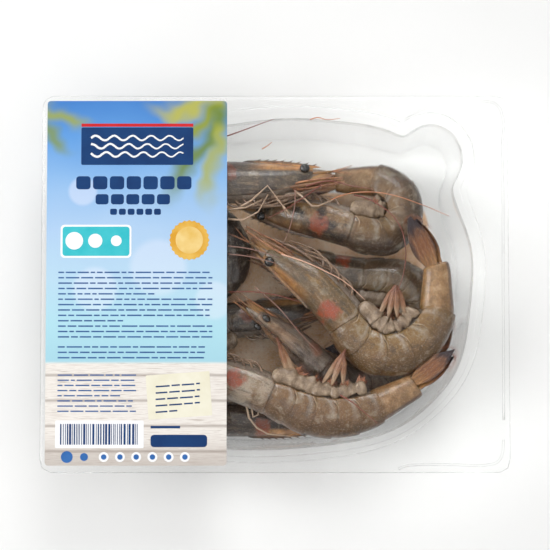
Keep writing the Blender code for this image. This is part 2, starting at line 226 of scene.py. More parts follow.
def move_vertices(obj: Object, points: np.ndarray) -> None:
    """Puts the object's vertices at new places.

    Args:
        obj: The object.
        points: One row for each vertex.
    """
    obj.data.vertices.foreach_set("co", points.astype(np.float32).ravel())
    obj.data.update()


def remember(obj: Object) -> None:
    """Keeps each vertex's present place as an attribute, which patterns follow after bending."""
    layer = obj.data.attributes.get(PLACE)
    if layer is None:
        layer = obj.data.attributes.new(PLACE, "FLOAT_VECTOR", "POINT")
    layer.data.foreach_set("vector", coordinates(obj).astype(np.float32).ravel())


def settle(piece: Object, slot: Slot, replaces: Iterable[str] = ()) -> None:
    """Puts a finished piece on the pack's body and reports it.

    Args:
        piece: The finished piece.
        slot: The material slot that its report names.
        replaces: The CAD nodes that it stands for.
    """
    for node in replaces:
        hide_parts(node)
    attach(piece, BODY)
    log.info("%s: %d faces, slot %s", piece.name, len(piece.data.polygons), slot.value)


def rotation(degrees: float, axis: str) -> Matrix:
    """A turn about an axis."""
    return Matrix.Rotation(math.radians(degrees), 4, axis)


def aside(path: Sequence[Point], side: int) -> list[Point]:
    """A path on the left or the right of the body."""
    return [(x, y * side, z) for x, y, z in path]


def eased(value: float) -> float:
    """0 before 0, 1 after 1 and smooth between."""
    value = min(max(value, 0.0), 1.0)
    return value * value * (3 - 2 * value)


# Colours and node graphs.


def linear(code: str) -> tuple[float, float, float, float]:
    """A colour's linear values from its six-figure code."""
    parts = [int(code[i : i + 2], 16) / 255 for i in (0, 2, 4)]
    return (*(p / 12.92 if p <= 0.04045 else ((p + 0.055) / 1.055) ** 2.4 for p in parts), 1.0)


class Graph:
    """A shader tree with short ways to add nodes and wire them."""

    def __init__(self, tree: NodeTree) -> None:
        """Keeps the tree."""
        self.tree = tree

    def feed(self, socket: NodeSocket, value: Any) -> None:
        """Links a socket, or sets its value.

        Args:
            socket: The input.
            value: Another socket, or a plain value.
        """
        if isinstance(value, NodeSocket):
            self.tree.links.new(value, socket)
        else:
            socket.default_value = value

    def add(self, kind: str, inputs: dict[Any, Any] | None = None, **settings: Any) -> Node:
        """Adds a node.

        Args:
            kind: The node's type, without its prefix.
            inputs: Values or sockets by input.
            **settings: The node's own settings.

        Returns:
            The node.
        """
        node = self.tree.nodes.new("ShaderNode" + kind)
        for key, value in settings.items():
            setattr(node, key, value)
        for key, value in (inputs or {}).items():
            self.feed(node.inputs[key], value)
        return node

    def maths(self, operation: str, a: Any, b: Any = 0.0) -> NodeSocket:
        """The result of a Math node."""
        return self.add("Math", {0: a, 1: b}, operation=operation).outputs[0]

    def plus(self, a: Any, b: Any) -> NodeSocket:
        """The sum of two values."""
        return self.maths("ADD", a, b)

    def less(self, a: Any, b: Any) -> NodeSocket:
        """The first value less the second."""
        return self.maths("SUBTRACT", a, b)

    def over(self, a: Any, b: Any) -> NodeSocket:
        """The first value divided by the second."""
        return self.maths("DIVIDE", a, b)

    def drift(self, value: Any, noise: Any, reach: float) -> NodeSocket:
        """A value moved to and fro by a noise that lies round a half."""
        return self.plus(value, self.product(self.less(noise, 0.5), reach))

    def smooth(self, value: Any, low: float, high: float) -> NodeSocket:
        """0 at low, 1 at high and smooth between."""
        flip = low > high
        inputs = {"Value": value, "From Min": min(low, high), "From Max": max(low, high)}
        inputs["To Min"], inputs["To Max"] = (1.0, 0.0) if flip else (0.0, 1.0)
        return self.add("MapRange", inputs, interpolation_type="SMOOTHSTEP").outputs[0]

    def band(self, value: Any, centre: Any, reach: float) -> NodeSocket:
        """1 where the value is at the centre, 0 a reach away."""
        away = self.maths("ABSOLUTE", self.less(value, centre))
        return self.smooth(away, reach, 0.0)

    def product(self, *values: Any) -> NodeSocket:
        """The product of several values."""
        result = values[0]
        for value in values[1:]:
            result = self.maths("MULTIPLY", result, value)
        return result

    def blend(self, share: Any, a: Any, b: Any) -> NodeSocket:
        """Two colours mixed.

        Args:
            share: How much of b.
            a: The first colour.
            b: The second colour.

        Returns:
            The mixed colour.
        """
        node = self.add("Mix", data_type="RGBA")
        for index, value in ((0, share), (6, a), (7, b)):
            self.feed(node.inputs[index], value)
        return node.outputs[2]

    def tint(self, colour: Any, code: str, *masks: Any) -> NodeSocket:
        """A colour turned into another where all the masks are high."""
        return self.blend(self.product(*masks), colour, linear(code))

    def ramp(self, value: Any, stops: Sequence[tuple[float, str]]) -> NodeSocket:
        """A colour read from stops.

        Args:
            value: The place on the ramp.
            stops: Places and colour codes.

        Returns:
            The colour.
        """
        node = self.add("ValToRGB", {0: value})
        points = node.color_ramp.elements
        while len(points) < len(stops):
            points.new(1.0)
        for point, (place, code) in zip(points, stops):
            point.position = place
            point.color = linear(code)
        return node.outputs[0]

    def noise(
        self, place: Any, scale: float, detail: float = 3.0, rough: float = 0.55
    ) -> NodeSocket:
        """A noise value, mostly between 0.3 and 0.7."""
        inputs = {"Vector": place, "Scale": scale, "Detail": detail, "Roughness": rough}
        return self.add("TexNoise", inputs).outputs[0]

    def cells(self, place: Any, scale: float, spread: float) -> NodeSocket:
        """The distance to the nearest of scattered points."""
        inputs = {"Vector": place, "Scale": scale, "Randomness": spread}
        return self.add("TexVoronoi", inputs).outputs["Distance"]

    def stretched(self, place: Any, scale: Point) -> NodeSocket:
        """A place scaled unevenly."""
        return self.add("Mapping", {"Vector": place, "Scale": scale}).outputs[0]

    def axes(self, place: Any) -> tuple[NodeSocket, ...]:
        """The x, y and z of a place."""
        return tuple(self.add("SeparateXYZ", {0: place}).outputs)


def group(name: str, inputs: dict[str, str], outputs: dict[str, str]) -> tuple[Graph, dict, dict]:
    """Starts a node group.

    Args:
        name: The group's name.
        inputs: Socket kinds by input name.
        outputs: Socket kinds by output name.

    Returns:
        The group's graph, its input sockets and its output sockets by name.
    """
    tree = bpy.data.node_groups.new(name, "ShaderNodeTree")
    for way, sockets in (("INPUT", inputs), ("OUTPUT", outputs)):
        for label, kind in sockets.items():
            tree.interface.new_socket(name=label, in_out=way, socket_type="NodeSocket" + kind)
    start = tree.nodes.new("NodeGroupInput")
    end = tree.nodes.new("NodeGroupOutput")
    return Graph(tree), {s.name: s for s in start.outputs}, {s.name: s for s in end.inputs}


@dataclass
class Finish:
    """One material: a Principled shader, its plain values and the tree round it."""

    name: str
    values: dict[str, Any] = field(default_factory=dict)

    def __post_init__(self) -> None:
        """Makes the material with its plain values."""
        self.material = bpy.data.materials.new(self.name)
        self.material.use_nodes = True
        self.graph = Graph(self.material.node_tree)
        self.shader = self.material.node_tree.nodes["Principled BSDF"]
        self.output = self.material.node_tree.nodes["Material Output"]
        for key, value in self.values.items():
            self.shader.inputs[key].default_value = value

    def place(self, own: bool = True) -> NodeSocket:
        """The pattern's place: the piece's kept coordinates, or its object coordinates in mm.

        Args:
            own: Whether to read the kept coordinates.

        Returns:
            The vector.
        """
        if own:
            return self.graph.add("Attribute", attribute_name=PLACE).outputs["Vector"]
        place = self.graph.add("TexCoord").outputs["Object"]
        return self.graph.stretched(place, (1 / MM, 1 / MM, 1 / MM))

    def nested(self, tree: NodeTree, inputs: dict[str, Any]) -> Node:
        """Places a node group with its own values."""
        node = self.material.node_tree.nodes.new("ShaderNodeGroup")
        node.node_tree = tree
        for key, value in inputs.items():
            self.graph.feed(node.inputs[key], value)
        return node

    def relief(self, height: Any, strength: float, depth: float) -> None:
        """Gives the surface a fine relief.

        Args:
            height: The height, from 0 to 1.
            strength: How strong it shows.
            depth: The real depth in metres.
        """
        bump = self.graph.add("Bump", {"Strength": strength, "Distance": depth, "Height": height})
        self.graph.feed(self.shader.inputs["Normal"], bump.outputs[0])

    def wear(self, sockets: dict[str, Any]) -> Material:
        """Wires sockets into the shader.

        Args:
            sockets: Sockets by the shader's input.

        Returns:
            The finished material.
        """
        for key, socket in sockets.items():
            self.graph.feed(self.shader.inputs[key], socket)
        return self.material


def skin_group() -> NodeTree:
    """The pattern of a shrimp's shell, in millimetres along the stretched-out body.

    Returns:
        The node group, which puts out a colour, a roughness and a height.
    """
    inputs = dict.fromkeys(("Place", "Seed", "Spot"), "Vector")
    inputs |= dict.fromkeys(("Back", "Side", "Belly", "Front"), "Color")
    inputs |= dict.fromkeys(("Cool", "Patch", "Amber"), "Float")
    outputs = {"Colour": "Color", "Roughness": "Float", "Height": "Float"}
    g, ins, outs = group("shrimp_skin", inputs, outputs)
    x, _, z = g.axes(ins["Place"])
    spot = g.add("VectorMath", {0: ins["Place"], 1: ins["Seed"]}, operation="ADD").outputs[0]
    broad = g.noise(spot, 0.075, 3.0)
    cloud = g.noise(spot, 0.24, 4.0, 0.6)
    fine = g.noise(spot, 1.7, 3.0)
    level = g.drift(z, broad, 12.0)
    colour = g.blend(g.smooth(level, -1.5, 8.5), ins["Side"], ins["Back"])
    colour = g.blend(g.smooth(level, -4.0, -10.0), colour, ins["Belly"])
    colour = g.tint(colour, "352920", g.smooth(cloud, 0.5, 0.72), 0.6)
    # Painted sheen: the pale patches of the cloud noise lighten the shell towards a greyish tan, where a wet
    # gleam would show.
    colour = g.tint(colour, "9b9180", g.smooth(cloud, 0.49, 0.32), 0.42)
    # The head shell's cool grey sides, its amber crest and its pale rolled rim.
    head = g.smooth(x, 53.0, 50.0)
    cool = g.product(head, g.smooth(g.noise(spot, 0.13, 3.0), 0.4, 0.58), ins["Cool"])
    colour = g.blend(cool, colour, ins["Front"])
    streak = g.noise(g.stretched(spot, (0.09, 1.0, 0.75)), 1.0, 4.0, 0.6)
    colour = g.tint(colour, "33291f", head, g.smooth(streak, 0.52, 0.66), 0.55)
    colour = g.tint(colour, "87745a", head, g.smooth(streak, 0.46, 0.34), 0.35)
    crest = g.product(g.smooth(z, 4.6, 6.2), g.smooth(x, 38.0, 24.0), ins["Amber"])
    colour = g.blend(crest, colour, g.ramp(cloud, ((0.34, "c28b52"), (0.66, "8a5f38"))))
    ridge = g.smooth(g.less(z, g.product(x, 0.08)), 6.7, 7.2)
    colour = g.tint(colour, "2c1b12", ridge, g.smooth(x, 40.0, 34.0), 0.75)
    edge = g.maths("MAXIMUM", g.less(2.75, g.product(x, 0.3)), -7.7)
    rim = g.product(g.smooth(g.less(z, edge), 1.7, 0.5), head)
    colour = g.tint(colour, "b59478", rim, 0.7)
    # The orange organ that shows through the hind part of the head shell.
    spot_x, _, spot_z = g.axes(ins["Spot"])
    away_x = g.over(g.less(x, spot_x), 4.0)
    away_z = g.over(g.less(z, spot_z), 4.8)
    near = g.plus(g.product(away_x, away_x), g.product(away_z, away_z))
    near = g.drift(near, cloud, 4.5)
    patch = g.product(g.smooth(near, 1.5, 0.2), ins["Patch"])
    colour = g.blend(patch, colour, g.ramp(fine, ((0.35, "6c2814"), (0.65, "9c4826"))))
    # Each segment's hind margin is a fine dark line behind a clear pale strip.
    bow = g.over(g.plus(z, 1.0), 9.5)
    bow = g.less(1.6, g.product(bow, bow, 1.6))
    bow = g.less(bow, g.product(g.smooth(z, -1.8, -7.5), 3.0))
    along = g.maths("FRACT", g.over(g.less(g.less(x, bow), HIND + 0.9), SEGMENT))
    trunk = g.product(g.smooth(x, 49.5, 52.5), g.smooth(x, 101.5, 99.5))
    pale = g.product(g.band(along, 0.74, 0.2), trunk, g.smooth(level, 7.0, -4.0))
    colour = g.tint(colour, "9c948b", pale, 0.42)
    colour = g.tint(colour, "4a3626", g.band(along, 0.95, 0.05), trunk, 0.4)
    hinge = g.product(g.band(along, 0.93, 0.07), g.band(z, -3.4, 0.9), trunk)
    colour = g.tint(colour, "2a1c14", hinge, 0.85)
    behind = g.maths("FRACT", g.plus(along, 0.03))
    outline = g.product(g.band(behind, 0.04, 0.035), g.smooth(z, 1.0, -2.5), trunk)
    colour = g.tint(colour, "b39d82", outline, 0.7)
    lower = g.product(g.smooth(z, -6.6, -7.8), trunk, 0.4)
    colour = g.tint(colour, "a8916f", lower)
    # The last segment is tan and clear, with a dark line along its back.
    last = g.smooth(x, 99.5, 103.0)
    colour = g.blend(g.product(last, 0.65), colour, g.ramp(cloud, ((0.3, "b08a62"), (0.62, "80603e"))))
    back = g.plus(z, g.product(g.less(x, 99.5), 0.105))
    colour = g.tint(colour, "3f2b22", last, g.smooth(back, 6.3, 7.3), 0.8)
    # Small dark pigment dots in a fine net.
    dots = g.cells(g.stretched(spot, (1.0, 1.0, 1.15)), 0.95, 0.5)
    dots = g.product(g.smooth(dots, 0.36, 0.16), g.smooth(cloud, 0.34, 0.5))
    colour = g.tint(colour, "3a2b1e", dots, 0.5)
    colour = g.tint(colour, "3a2c22", g.smooth(fine, 0.52, 0.7), 0.35)
    colour = g.tint(colour, "b09a80", g.smooth(fine, 0.46, 0.32), 0.25)
    g.feed(outs["Colour"], colour)
    rough = g.plus(0.3, g.product(cloud, 0.24))
    g.feed(outs["Roughness"], rough)
    height = g.plus(g.product(cloud, 0.5), g.product(fine, 0.2))
    g.feed(outs["Height"], g.plus(height, g.product(dots, -0.1)))
    return g.tree


def fibre_group() -> NodeTree:
    """Fine ribs along a blade, from root to tip, with dark edges, for fans, scales and paddles.

    Returns:
        The node group, which puts out a colour and a height.
    """
    inputs = {"Place": "Vector"} | dict.fromkeys(("Root", "Middle", "Tip"), "Color")
    inputs |= dict.fromkeys(("Length", "Width", "Ribs"), "Float")
    g, ins, outs = group("blade_fibres", inputs, {"Colour": "Color", "Height": "Float"})
    x, y, _ = g.axes(ins["Place"])
    share = g.over(x, ins["Length"])
    uneven = g.noise(ins["Place"], 0.35, 3.0)
    share = g.drift(share, uneven, 0.4)
    colour = g.blend(g.smooth(share, 0.05, 0.45), ins["Root"], ins["Middle"])
    rows = g.noise(g.stretched(ins["Place"], (0.1, 1.0, 1.0)), 1.0, 2.0)
    turn = g.plus(y, g.product(rows, 1.6))
    wave = g.maths("SINE", g.product(turn, g.product(ins["Ribs"], FULL_TURN)))
    colour = g.tint(colour, "3a221b", g.smooth(wave, -0.2, 0.9), 0.3)
    grain = g.noise(g.stretched(ins["Place"], (0.35, 3.0, 1.0)), 1.4, 4.0)
    colour = g.tint(colour, "c39a70", g.smooth(grain, 0.5, 0.3), 0.4)
    side = g.over(g.maths("ABSOLUTE", y), ins["Width"])
    dark = g.maths("MAXIMUM", g.smooth(share, 0.6, 0.92), g.product(g.smooth(side, 0.32, 0.5), 0.75))
    colour = g.blend(dark, colour, ins["Tip"])
    g.feed(outs["Colour"], colour)
    g.feed(outs["Height"], g.plus(g.product(wave, 0.4), grain))
    return g.tree


def clear_material(
    name: str, roughness: float, ior: float, tint: str, waves: float, body: float
) -> Material:
    """A clear plastic that lets the lamps' light straight through.

    Args:
        name: The material's name.
        roughness: Its roughness.
        ior: Its index of refraction.
        tint: Its colour code.
        waves: How strongly its surface is wavy.
        body: How much of it is seen, against what goes straight through.

    Returns:
        The material.
    """
    values = {"Roughness": roughness, "IOR": ior, "Transmission Weight": 1.0, "Metallic": 0.0, "Alpha": body}
    finish = Finish(name, values)
    g = finish.graph
    place = finish.place(own=False)
    drift = g.noise(place, 0.035, 2.0)
    tone = g.blend(g.product(g.smooth(drift, 0.3, 0.7), 0.5), linear(tint), linear("ffffff"))
    finish.wear({"Base Color": tone})
    finish.relief(g.noise(place, 0.06, 2.0), strength=waves, depth=0.0006)
    through = g.add("BsdfTransparent", {0: tone})
    lamp = g.add("LightPath").outputs["Is Shadow Ray"]
    mix = g.add("MixShader", {0: lamp, 1: finish.shader.outputs[0], 2: through.outputs[0]})
    g.feed(finish.output.inputs["Surface"], mix.outputs[0])
    return finish.material


@dataclass(frozen=True)
class ShellTone:
    """The colours of one shrimp's shell."""

    back: str
    side: str
    belly: str
    front: str
    cool: float
    patch: float
    spot: tuple[float, float]
    seed: Point
    amber: float = 0.9
    # The colour of the painted shade along the shell's outline.
    rim: str = "4a2c1c"

    def material(self, name: str, skin: NodeTree) -> Material:
        """The shell material of one shrimp.

        Args:
            name: The material's name.
            skin: The skin pattern.

        Returns:
            The material.
        """
        values = {
            "Specular IOR Level": 0.3,
            "Coat Weight": 0.75,
            "Coat Roughness": 0.06,
            "Subsurface Weight": 0.15,
            "Subsurface Scale": 0.003,
        }
        finish = Finish(name, values)
        inputs = {"Place": finish.place(), "Seed": self.seed, "Spot": (self.spot[0], 0.0, self.spot[1])}
        inputs |= {key.title(): linear(getattr(self, key)) for key in ("back", "side", "belly", "front")}
        inputs |= {key.title(): getattr(self, key) for key in ("cool", "patch", "amber")}
        node = finish.nested(skin, inputs)
        finish.relief(node.outputs["Height"], strength=0.85, depth=0.0005)
        g = finish.graph
        # Painted shade: the colour turns to the rim colour towards the shell's outline, where the surface
        # turns away from the view.
        facing = g.add("LayerWeight", {"Blend": 0.3}).outputs["Facing"]
        colour = g.tint(node.outputs["Colour"], self.rim, g.smooth(facing, 0.34, 0.74), 0.62)
        return finish.wear({"Base Color": colour, "Roughness": node.outputs["Roughness"]})


@dataclass(frozen=True)
class BladeTone:
    """The colours of a ribbed blade."""

    root: str
    middle: str
    tip: str
    length: float
    width: float
    ribs: float

    def material(self, name: str, fibres: NodeTree) -> Material:
        """The blade's material.

        Args:
            name: The material's name.
            fibres: The rib pattern.

        Returns:
            The material.
        """
        finish = Finish(name, {"Roughness": 0.38, "Coat Weight": 0.25, "Coat Roughness": 0.2})
        inputs = {"Place": finish.place()}
        inputs |= {key.title(): linear(getattr(self, key)) for key in ("root", "middle", "tip")}
        inputs |= {key.title(): getattr(self, key) for key in ("length", "width", "ribs")}
        node = finish.nested(fibres, inputs)
        finish.relief(node.outputs["Height"], strength=0.6, depth=0.0003)
        return finish.wear({"Base Color": node.outputs["Colour"]})


def mottled_material(
    name: str, stops: Sequence[tuple[float, str]], scale: float, roughness: float, coat: float
) -> Material:
    """A material of two or three tones that run into each other, as on flesh, limbs and feelers.

    Args:
        name: The material's name.
        stops: The tones, as places on the noise and colour codes.
        scale: The noise's scale for each millimetre.
        roughness: Its roughness.
        coat: Its wet coat.

    Returns:
        The material.
    """
    values = {"Roughness": roughness, "Coat Weight": coat, "Coat Roughness": 0.15}
    finish = Finish(name, values)
    g = finish.graph
    place = finish.place()
    cloud = g.noise(place, scale, 4.0, 0.62)
    fine = g.noise(place, scale * 6, 2.0)
    value = g.plus(g.product(cloud, 0.75), g.product(fine, 0.25))
    finish.relief(value, strength=0.5, depth=0.0004)
    return finish.wear({"Base Color": g.ramp(value, stops)})


# The view, the floor and the lamps.


@dataclass(frozen=True)
class View:
    """The photograph's view, almost straight down on the pack."""

    side: int = 550
    scale: float = 0.41 * MM
    level: float = 37.0 * MM
    middle_row: float = 283.0
    distance: float = 0.8
    tilt: float = math.radians(4.2)

    def target(self) -> Vector:
        """The point at the frame's middle."""
        return Vector((0.0, (self.middle_row - self.side / 2) * self.scale, self.level))

    def axes(self) -> tuple[Vector, Vector, Vector]:
        """The view's right, up and forward directions."""
        sine, cosine = math.sin(self.tilt), math.cos(self.tilt)
        return Vector((1, 0, 0)), Vector((0, cosine, sine)), Vector((0, sine, -cosine))

    def at(self, column: float, row: float, height: float) -> Vector:
        """Where the ray through a pixel meets a height.

        Args:
            column: The pixel's column.
            row: The pixel's row.
            height: The height in millimetres.

        Returns:
            The point, in metres.
        """
        right, up, forward = self.axes()
        eye = self.target() - forward * self.distance
        step = self.scale / self.distance
        ray = forward + right * (column - self.side / 2) * step + up * (self.side / 2 - row) * step
        return eye + ray * ((height * MM - eye.z) / ray.z)

    def camera(self) -> None:
        """Makes the scene's camera."""
        right, up, forward = self.axes()
        data = bpy.data.cameras.new("camera")
        data.sensor_width = 36.0
        data.lens = 36.0 * self.distance / (self.side * self.scale)
        data.clip_start, data.clip_end = 0.01, 20.0
        camera = placed("camera", data)
        turn = Matrix((right, up, -forward)).transposed().to_4x4()
        camera.matrix_world = Matrix.Translation(self.target() - forward * self.distance) @ turn
        bpy.context.scene.camera = camera


VIEW = View()


@dataclass(frozen=True)
class Lamp:
    """One soft lamp."""

    name: str
    place: Point
    aim: Point
    size: float
    power: float

    def build(self) -> None:
        """Hangs the lamp."""
        data = bpy.data.lights.new(self.name, "AREA")
        data.shape = "SQUARE"
        data.size = self.size
        data.energy = self.power
        lamp = placed(self.name, data)
        lamp.location = self.place
        lamp.rotation_euler = (Vector(self.aim) - Vector(self.place)).to_track_quat("-Z", "Y").to_euler()


@dataclass
class Studio:
    """A white table under soft light that comes mostly from beyond the pack."""

    lamps: tuple[Lamp, ...] = (
        Lamp("window", (0.1, 0.8, 0.8), (0.0, 0.0, 0.02), size=0.45, power=3.0),
        Lamp("overhead", (-0.2, -0.05, 1.2), (-0.05, 0.0, 0.02), size=1.2, power=2.6),
        Lamp("fill_left", (-0.9, 0.0, 0.6), (-0.1, 0.0, 0.02), size=0.6, power=5.6),
        Lamp("fill_right", (0.8, -0.3, 0.8), (0.0, 0.0, 0.02), size=0.5, power=0.6),
    )
    air: float = 0.53
    beyond: float = 0.74
    table: float = 6.0
    gap: float = 0.4 * MM

    def build(self) -> None:
        """Lays the floor and hangs the lamps."""
        bpy.context.scene.view_settings.view_transform = "Standard"
        floor = primitive(
            bpy.ops.mesh.primitive_grid_add, "floor", x_subdivisions=6, y_subdivisions=6, size=self.table
        )
        move_vertices(floor, coordinates(floor) - np.array((0.0, 0.0, self.gap)))
        finish = Finish("white_card", {"Roughness": 0.85})
        g = finish.graph
        cloud = g.noise(finish.place(own=False), 0.01, 2.0)
        white = g.ramp(cloud, ((0.3, "f1f1f0"), (0.7, "f5f5f4")))
        floor.data.materials.append(finish.wear({"Base Color": white}))
        for lamp in self.lamps:
            lamp.build()
        world = bpy.data.worlds.new("air")
        bpy.context.scene.world = world
        world.use_nodes = True
        sky = world.node_tree.nodes["Background"]
        sky.inputs["Color"].default_value = (1.0, 1.0, 1.0, 1.0)
        g = Graph(world.node_tree)
        clear = g.add("LightPath").outputs["Is Transmission Ray"]
        g.feed(sky.inputs["Strength"], g.plus(g.product(clear, self.beyond - self.air), self.air))
        log.info("studio: %d lamps", len(self.lamps))


# The tray, the film and the pad.


@dataclass
class Tray:
    """The thermoformed tray, with the CAD tray's outline and finer rounds, in millimetres."""

    half_width: float = 96.0
    half_depth: float = 77.5
    corner: float = 5.0
    sheet: float = 0.45
    flange: float = 37.0
    floor: float = 0.6
    foot: float = 3.0
    foot_edge: float = -6.2
    fineness: int = 8
    edge: tuple[tuple[float, float], ...] = (
        (81.2, 8.0), (79.2, 19.5), (75.0, 31.0), (73.0, 39.0), (76.2, 46.5), (77.0, 53.5),
        (73.0, 62.0), (65.0, 65.6), (58.0, 63.6), (52.6, 60.7), (43.0, 64.2), (27.0, 66.6),
        (7.0, 68.0), (-9.0, 66.6), (-20.0, 65.2), (-34.0, 65.6), (-52.0, 64.6), (-66.0, 60.0),
        (-75.0, 50.0), (-79.6, 34.0), (-81.2, 12.0), (-80.4, -14.0), (-76.8, -32.0),
        (-68.0, -48.0), (-52.0, -60.0), (-30.0, -66.6), (-4.0, -68.0), (24.0, -65.8),
        (43.0, -62.0), (57.5, -54.5), (70.5, -41.5), (76.8, -29.0), (79.6, -12.0),
    )

    def outline(self) -> list[Vector]:
        """The cavity's edge as a fine closed line, sorted round the middle."""
        fine = []
        count = len(self.edge)
        for index in range(count):
            a, b, c, d = (Vector(self.edge[(index + shift) % count]) for shift in (-1, 0, 1, 2))
            for part in range(self.fineness):
                t = part / self.fineness
                bend = (2 * a - 5 * b + 4 * c - d) * t**2 + (3 * b - a - 3 * c + d) * t**3
                fine.append(0.5 * (2 * b + (c - a) * t + bend))
        return fine

    def moved(self, line: list[Vector], away: float) -> list[Vector]:
        """The outline moved outwards, and its tight turns rounded.

        Args:
            line: The outline.
            away: How far, inwards if negative.

        Returns:
            The moved outline.
        """
        count = len(line)
        ring = []
        for index, point in enumerate(line):
            along = line[(index + 1) % count] - line[index - 1]
            ring.append(point + Vector((along.y, -along.x)).normalized() * away)
        for _ in range(round(away * 4) if away > 0 else round(-away * 7)):
            ring = [(ring[i - 1] + 2 * ring[i] + ring[(i + 1) % count]) / 4 for i in range(count)]
        return ring

    def rim(self, line: list[Vector], inset: float) -> list[Vector]:
        """The round-cornered rim, met by rays from the middle through the outline.

        Args:
            line: The cavity's edge.
            inset: How far inside the pack's edge.

        Returns:
            One point for each of the outline's.
        """
        width, depth = self.half_width - inset, self.half_depth - inset
        corner = max(self.corner - inset, 1.0)
        ring = []
        for point in line:
            way = point.normalized()
            reach = min(width / max(abs(way.x), 1e-9), depth / max(abs(way.y), 1e-9))
            spot = way * reach
            inner = Vector((min(abs(spot.x), width - corner), min(abs(spot.y), depth - corner)))
            out = Vector((abs(spot.x), abs(spot.y))) - inner
            if inner.x >= width - corner - 1e-6 and inner.y >= depth - corner - 1e-6 and out.length > 0:
                tight = inner + out.normalized() * corner
                spot = Vector((math.copysign(tight.x, spot.x), math.copysign(tight.y, spot.y)))
            ring.append(spot)
        return ring

    def profile(self) -> list[tuple[float, float]]:
        """How far outside the cavity's edge and how high each ring of the wall and the bead lies."""
        steps = [(-9.0, self.floor), (self.foot_edge, self.floor)]
        for step in range(1, 6):
            turn = math.pi / 2 * step / 5
            away, rise = self.foot * math.sin(turn), self.foot * (1 - math.cos(turn))
            steps.append((self.foot_edge + away, self.floor + rise))
        steps += [(-2.9, 7.0), (-1.9, 18.0), (-0.9, 30.0), (-0.5, 34.6), (-0.35, 36.0), (0.0, 36.7)]
        bead = (
            (0.6, 0.0), (2.4, 0.0), (2.7, 0.12), (3.0, 0.55), (3.3, 0.72), (4.2, 0.78), (5.3, 0.72),
            (5.6, 0.55), (5.9, 0.12), (6.3, 0.0),
        )
        return steps + [(away, self.flange + rise) for away, rise in bead]

    def build(self, clear: Material) -> None:
        """Builds the tray from a circle, extruded ring by ring.

        Args:
            clear: The clear plastic.
        """
        line = self.outline()
        rings = [(self.moved(line, away), z) for away, z in self.profile()]
        for inset, drop in ((2.6, 0.0), (2.1, 0.15), (0.5, 0.25), (0.0, 0.6)):
            rings.append((self.rim(line, inset), self.flange - drop))
        count = len(line)
        tray = primitive(
            bpy.ops.mesh.primitive_circle_add, "clear_tray", vertices=count, radius=1.0, fill_type="NGON"
        )
        bpy.ops.object.mode_set(mode="EDIT")
        mesh = bmesh.from_edit_mesh(tray.data)
        spot = mesh.verts.layers.int.new("spot")
        for index, vert in enumerate(sorted(mesh.verts, key=lambda v: math.atan2(v.co.y, v.co.x))):
            vert[spot] = index
        for number, (ring, z) in enumerate(rings):
            if number:
                bpy.ops.mesh.extrude_edges_move()
                mesh = bmesh.from_edit_mesh(tray.data)
                spot = mesh.verts.layers.int["spot"]
            for vert in mesh.verts:
                if vert.select:
                    point = ring[vert[spot]]
                    vert.co = (point.x * MM, point.y * MM, z * MM)
            if number == 0:
                bpy.ops.mesh.select_all(action="SELECT")
        bmesh.update_edit_mesh(tray.data)
        bpy.ops.object.mode_set(mode="OBJECT")
        face_outwards(tray)
        floor = max(tray.data.polygons, key=lambda face: face.area)
        if floor.normal.z < 0:
            tray.data.flip_normals()
        shelled(tray, self.sheet * MM)
        tray.data.materials.append(clear)
        smooth(tray, 35.0)
        settle(tray, Slot.TRAY, ["tray"])

    def build_ridges(self, clear: Material) -> None:
        """Lays the flange's shallow ridges: the peel corner and the ledge by the near edge.

        Args:
            clear: The clear plastic.
        """
        peel_corner = (
            (476.8, 96), (483.5, 101), (490.6, 102), (496.7, 105), (501.3, 112), (502.4, 150),
            (503.2, 300), (503.8, 420),
        )
        near_ledge = (
            (398.5, 469), (404, 466.4), (411.7, 465), (450, 464.6), (490.7, 464.4), (498, 461.5),
            (502, 455), (503.6, 440),
        )
        level = self.flange + 0.05
        ridges = [
            strand("flange_ridge", [(*point, level) for point in path], 0.5, 0.5)
            for path in (peel_corner, near_ledge)
        ]
        whole = joined(ridges, "flange_ridges")
        coated(whole, clear)
        settle(whole, Slot.TRAY)


def strand(
    name: str, pixels: Sequence[Point], radius: float, tip: float, sides: int = 2, jointed: bool = False
) -> Object:
    """A thin round strand through points of the photograph's frame.

    Args:
        name: The strand's name.
        pixels: Column, row and height in millimetres of each point.
        radius: Its radius at its root in millimetres.
        tip: Its radius at its tip in millimetres.
        sides: The bevel's resolution.
        jointed: Whether it turns sharply at its points, as a leg does.

    Returns:
        The strand as a mesh.
    """
    return tube(name, [tuple(VIEW.at(*p)) for p in pixels], radius * MM, tip / radius, sides, 6, jointed)


def tube(
    name: str, points: Sequence[Point], radius: float, taper: float = 1.0, sides: int = 2, fine: int = 6,
    jointed: bool = False,
) -> Object:
    """A smooth round tube through points, thinner towards its end.

    Args:
        name: The tube's name.
        points: Its points.
        radius: Its radius at the first point.
        taper: Its last radius as a share of the first.
        sides: The bevel's resolution.
        fine: Steps between two points.
        jointed: Whether it turns sharply at its points.

    Returns:
        The tube as a closed mesh.
    """
    data = bpy.data.curves.new(name, "CURVE")
    data.dimensions = "3D"
    data.bevel_depth = radius
    data.bevel_resolution = sides
    data.resolution_u = fine
    data.use_fill_caps = True
    spline = data.splines.new("BEZIER")
    spline.bezier_points.add(len(points) - 1)
    for index, (knot, point) in enumerate(zip(spline.bezier_points, points)):
        knot.co = point
        knot.handle_left_type = knot.handle_right_type = "VECTOR" if jointed else "AUTO"
        knot.radius = 1.0 + (taper - 1.0) * index / (len(points) - 1)
    curve = placed(name, data)
    pick(curve)
    bpy.ops.object.convert(target="MESH")
    made = bpy.context.active_object
    modified(made, "WELD", merge_threshold=radius * 0.02)
    remember(made)
    made.data.shade_smooth()
    return made


